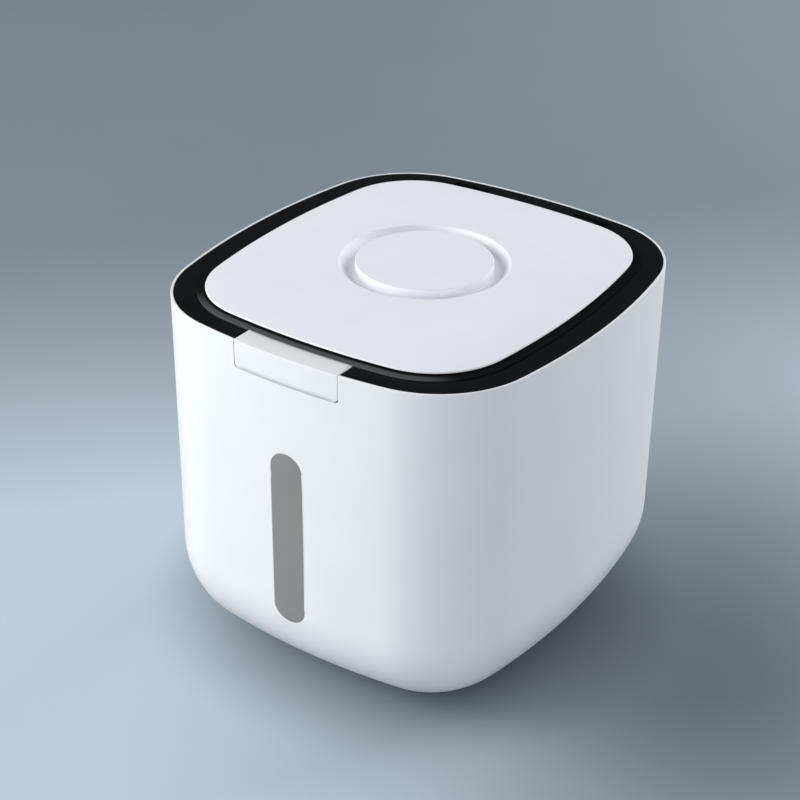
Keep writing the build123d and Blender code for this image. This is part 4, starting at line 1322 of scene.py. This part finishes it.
@dataclass(frozen=True)
class Lamp:
    """Square soft lamp, with lengths in metres.

    Attributes:
        name: Name of the lamp.
        place: Where it hangs.
        size: Side of the lamp.
        power: Power in watts.
        mirrored: Whether shiny surfaces show it.
    """

    name: str
    place: tuple[float, float, float]
    size: float
    power: float
    mirrored: bool = True

    def hang(self, target: tuple[float, float, float]) -> None:
        """Adds the lamp to the scene.

        Args:
            target: Point that it faces.
        """
        data = bpy.data.lights.new(self.name, "AREA")
        data.shape = "SQUARE"
        data.size = self.size
        data.energy = self.power
        lamp = bpy.data.objects.new(self.name, data)
        lamp.location = self.place
        lamp.visible_glossy = self.mirrored
        lamp.rotation_mode = "QUATERNION"
        lamp.rotation_quaternion = (Vector(target) - Vector(self.place)).to_track_quat("-Z", "Y")
        bpy.context.scene.collection.objects.link(lamp)


@dataclass(frozen=True)
class Studio:
    """Floor with a painted pool of light and painted shadows, soft lamps and the camera.

    Lengths are in metres, those of spans in millimetres. The camera's angles are in degrees, the
    turns of the floor's painted pool of light and painted shadow in radians.
    """

    camera_place: tuple[float, float, float] = (0.5578, -0.8329, 0.7136)
    azimuth: float = 34.552
    elevation: float = 29.709
    roll: float = 0.596
    lens: float = 83.0
    sensor: float = 36.0
    floor_size: float = 14.0
    floor_colour: tuple[float, float, float] = (0.262, 0.31, 0.352)
    floor_roughness: float = 0.6
    floor_specular: float = 0.2
    paper_size: float = 160.0
    paper_spread: float = 0.01
    light_pool_turn: float = -0.768
    light_pool_span: tuple[float, float] = (-620.0, 190.0)
    light_pool_tone: tuple[float, float] = (0.75, 2.2)
    shade_place: tuple[float, float, float] = (0.203, 0.017, 0.0)
    shade_turn: float = -1.017
    shade_reach: tuple[float, float, float] = (0.562, 0.368, 1.0)
    shade_tone: float = 0.27
    contact_shadow_span: tuple[float, float] = (100.0, 185.0)
    contact_shadow_tone: float = 0.5
    lamps: tuple[Lamp, ...] = (
        Lamp("key_lamp", (-2.05, -1.33, 0.99), 1.6, 69.0),
        Lamp("fill_lamp", (1.22, -2.12, 0.99), 1.8, 25.0),
        Lamp("back_lamp", (0.76, 2.34, 0.95), 1.6, 72.0, mirrored=False),
    )
    lamp_target: tuple[float, float, float] = (0.0, 0.0, 0.1)
    room_colour: tuple[float, float, float] = (0.86, 0.92, 1.0)
    room_light: float = 0.33
    room_mirror: float = 0.04

    def build_camera(self) -> None:
        """Adds the camera at the photograph's viewing angle."""
        azimuth, elevation, roll = (math.radians(a) for a in (self.azimuth, self.elevation, self.roll))
        back = Vector((
            math.sin(azimuth) * math.cos(elevation),
            -math.cos(azimuth) * math.cos(elevation),
            math.sin(elevation),
        ))
        right = Vector((math.cos(azimuth), math.sin(azimuth), 0))
        up = back.cross(right)
        tilted_right = right * math.cos(roll) + up * math.sin(roll)
        tilted_up = up * math.cos(roll) - right * math.sin(roll)
        data = bpy.data.cameras.new("studio_camera")
        data.lens = self.lens
        data.sensor_width = self.sensor
        camera = bpy.data.objects.new("studio_camera", data)
        turn = Matrix((tilted_right, tilted_up, back)).transposed().to_4x4()
        camera.matrix_world = Matrix.Translation(self.camera_place) @ turn
        bpy.context.scene.collection.objects.link(camera)
        bpy.context.scene.camera = camera

    def build_floor(self) -> None:
        """Adds the floor, whose paper carries painted light and painted shadows."""
        bm = bmesh.new()
        bmesh.ops.create_grid(bm, x_segments=1, y_segments=1, size=self.floor_size / 2)
        mesh = bpy.data.meshes.new("floor")
        bm.to_mesh(mesh)
        bm.free()
        sheet = NodeSheet("floor_paper")
        spots = sheet.noise(self.paper_size, 2.0)
        paper = sheet.tint(spots, self.floor_colour, -self.paper_spread, self.paper_spread)
        tone = sheet.add(
            "ShaderNodeVectorMath", operation="SCALE", Vector=paper, Scale=self.floor_tone(sheet)
        )
        sheet.feed({
            "Base Color": tone.outputs["Vector"],
            "Roughness": self.floor_roughness,
            "Specular IOR Level": self.floor_specular,
        })
        mesh.materials.append(sheet.material)
        floor = bpy.data.objects.new("floor", mesh)
        bpy.context.scene.collection.objects.link(floor)

    def floor_tone(self, sheet: NodeSheet) -> bpy.types.NodeSocket:
        """Painted light on the paper in view: a painted pool of light at the front left, a painted shadow at
        the right and a painted contact shadow under the object.

        Args:
            sheet: Node tree of the floor.

        Returns:
            The share by which the paper's colour is scaled.
        """
        # Painted light: a pool of light, a cast shadow and a contact shadow, scaled into the paper's colour
        # for camera rays only.
        along = sheet.add("ShaderNodeVectorMath", operation="DOT_PRODUCT", Vector=sheet.place)
        along.inputs[1].default_value = (math.cos(self.light_pool_turn), math.sin(self.light_pool_turn), 0.0)
        light_pool = sheet.ramp(along.outputs["Value"], self.light_pool_span, self.light_pool_tone)
        oval = sheet.add(
            "ShaderNodeMapping", vector_type="TEXTURE", Vector=sheet.place, Location=self.shade_place,
            Rotation=(0.0, 0.0, self.shade_turn), Scale=self.shade_reach,
        )
        away, middle = (
            sheet.add("ShaderNodeVectorMath", operation="LENGTH", Vector=place).outputs["Value"]
            for place in (oval.outputs["Vector"], sheet.place)
        )
        shade = sheet.ramp(away, (0.0, 1 / MM), (self.shade_tone, 1.0))
        contact_shadow = sheet.ramp(middle, self.contact_shadow_span, (self.contact_shadow_tone, 1.0))
        tone = sheet.calculate("MULTIPLY", sheet.calculate("MULTIPLY", light_pool, shade), contact_shadow)
        in_view = sheet.add("ShaderNodeLightPath").outputs["Is Camera Ray"]
        return sheet.remap(in_view, (0.0, 1.0), (1.0, tone))

    def build_light(self) -> None:
        """Adds the soft lamps and the even light of the room."""
        for lamp in self.lamps:
            lamp.hang(self.lamp_target)
        world = bpy.data.worlds.new("studio_world")
        world.use_nodes = True
        nodes = world.node_tree.nodes
        shade = nodes["Background"]
        shade.inputs["Color"].default_value = (*self.room_colour, 1.0)
        ray = nodes.new("ShaderNodeLightPath")
        strength = nodes.new("ShaderNodeMapRange")
        strength.inputs["To Min"].default_value = self.room_light
        strength.inputs["To Max"].default_value = self.room_mirror
        world.node_tree.links.new(ray.outputs["Is Glossy Ray"], strength.inputs["Value"])
        world.node_tree.links.new(strength.outputs["Result"], shade.inputs["Strength"])
        bpy.context.scene.world = world

    def build(self) -> None:
        """Builds the whole stage and sets the plain view transform."""
        self.build_camera()
        self.build_floor()
        self.build_light()
        bpy.context.scene.view_settings.view_transform = "Standard"


def main() -> None:
    """Builds every sub-assembly in order, then the stage."""
    logging.basicConfig(level=logging.INFO, format="%(name)s: %(message)s")
    materials = FinishSet().make()
    tub = Tub()
    window = WindowStrip()
    tub.build(materials, window)
    window.build_pane(tub, materials)
    window.build_gasket(tub, materials)
    LidPlate().build(materials)
    LidSeal().build(materials)
    PushButton().build(tub, materials)
    FootPads().build(materials)
    CarriedNodes().dress(materials)
    Studio().build()


if __name__ == "__main__":
    main()
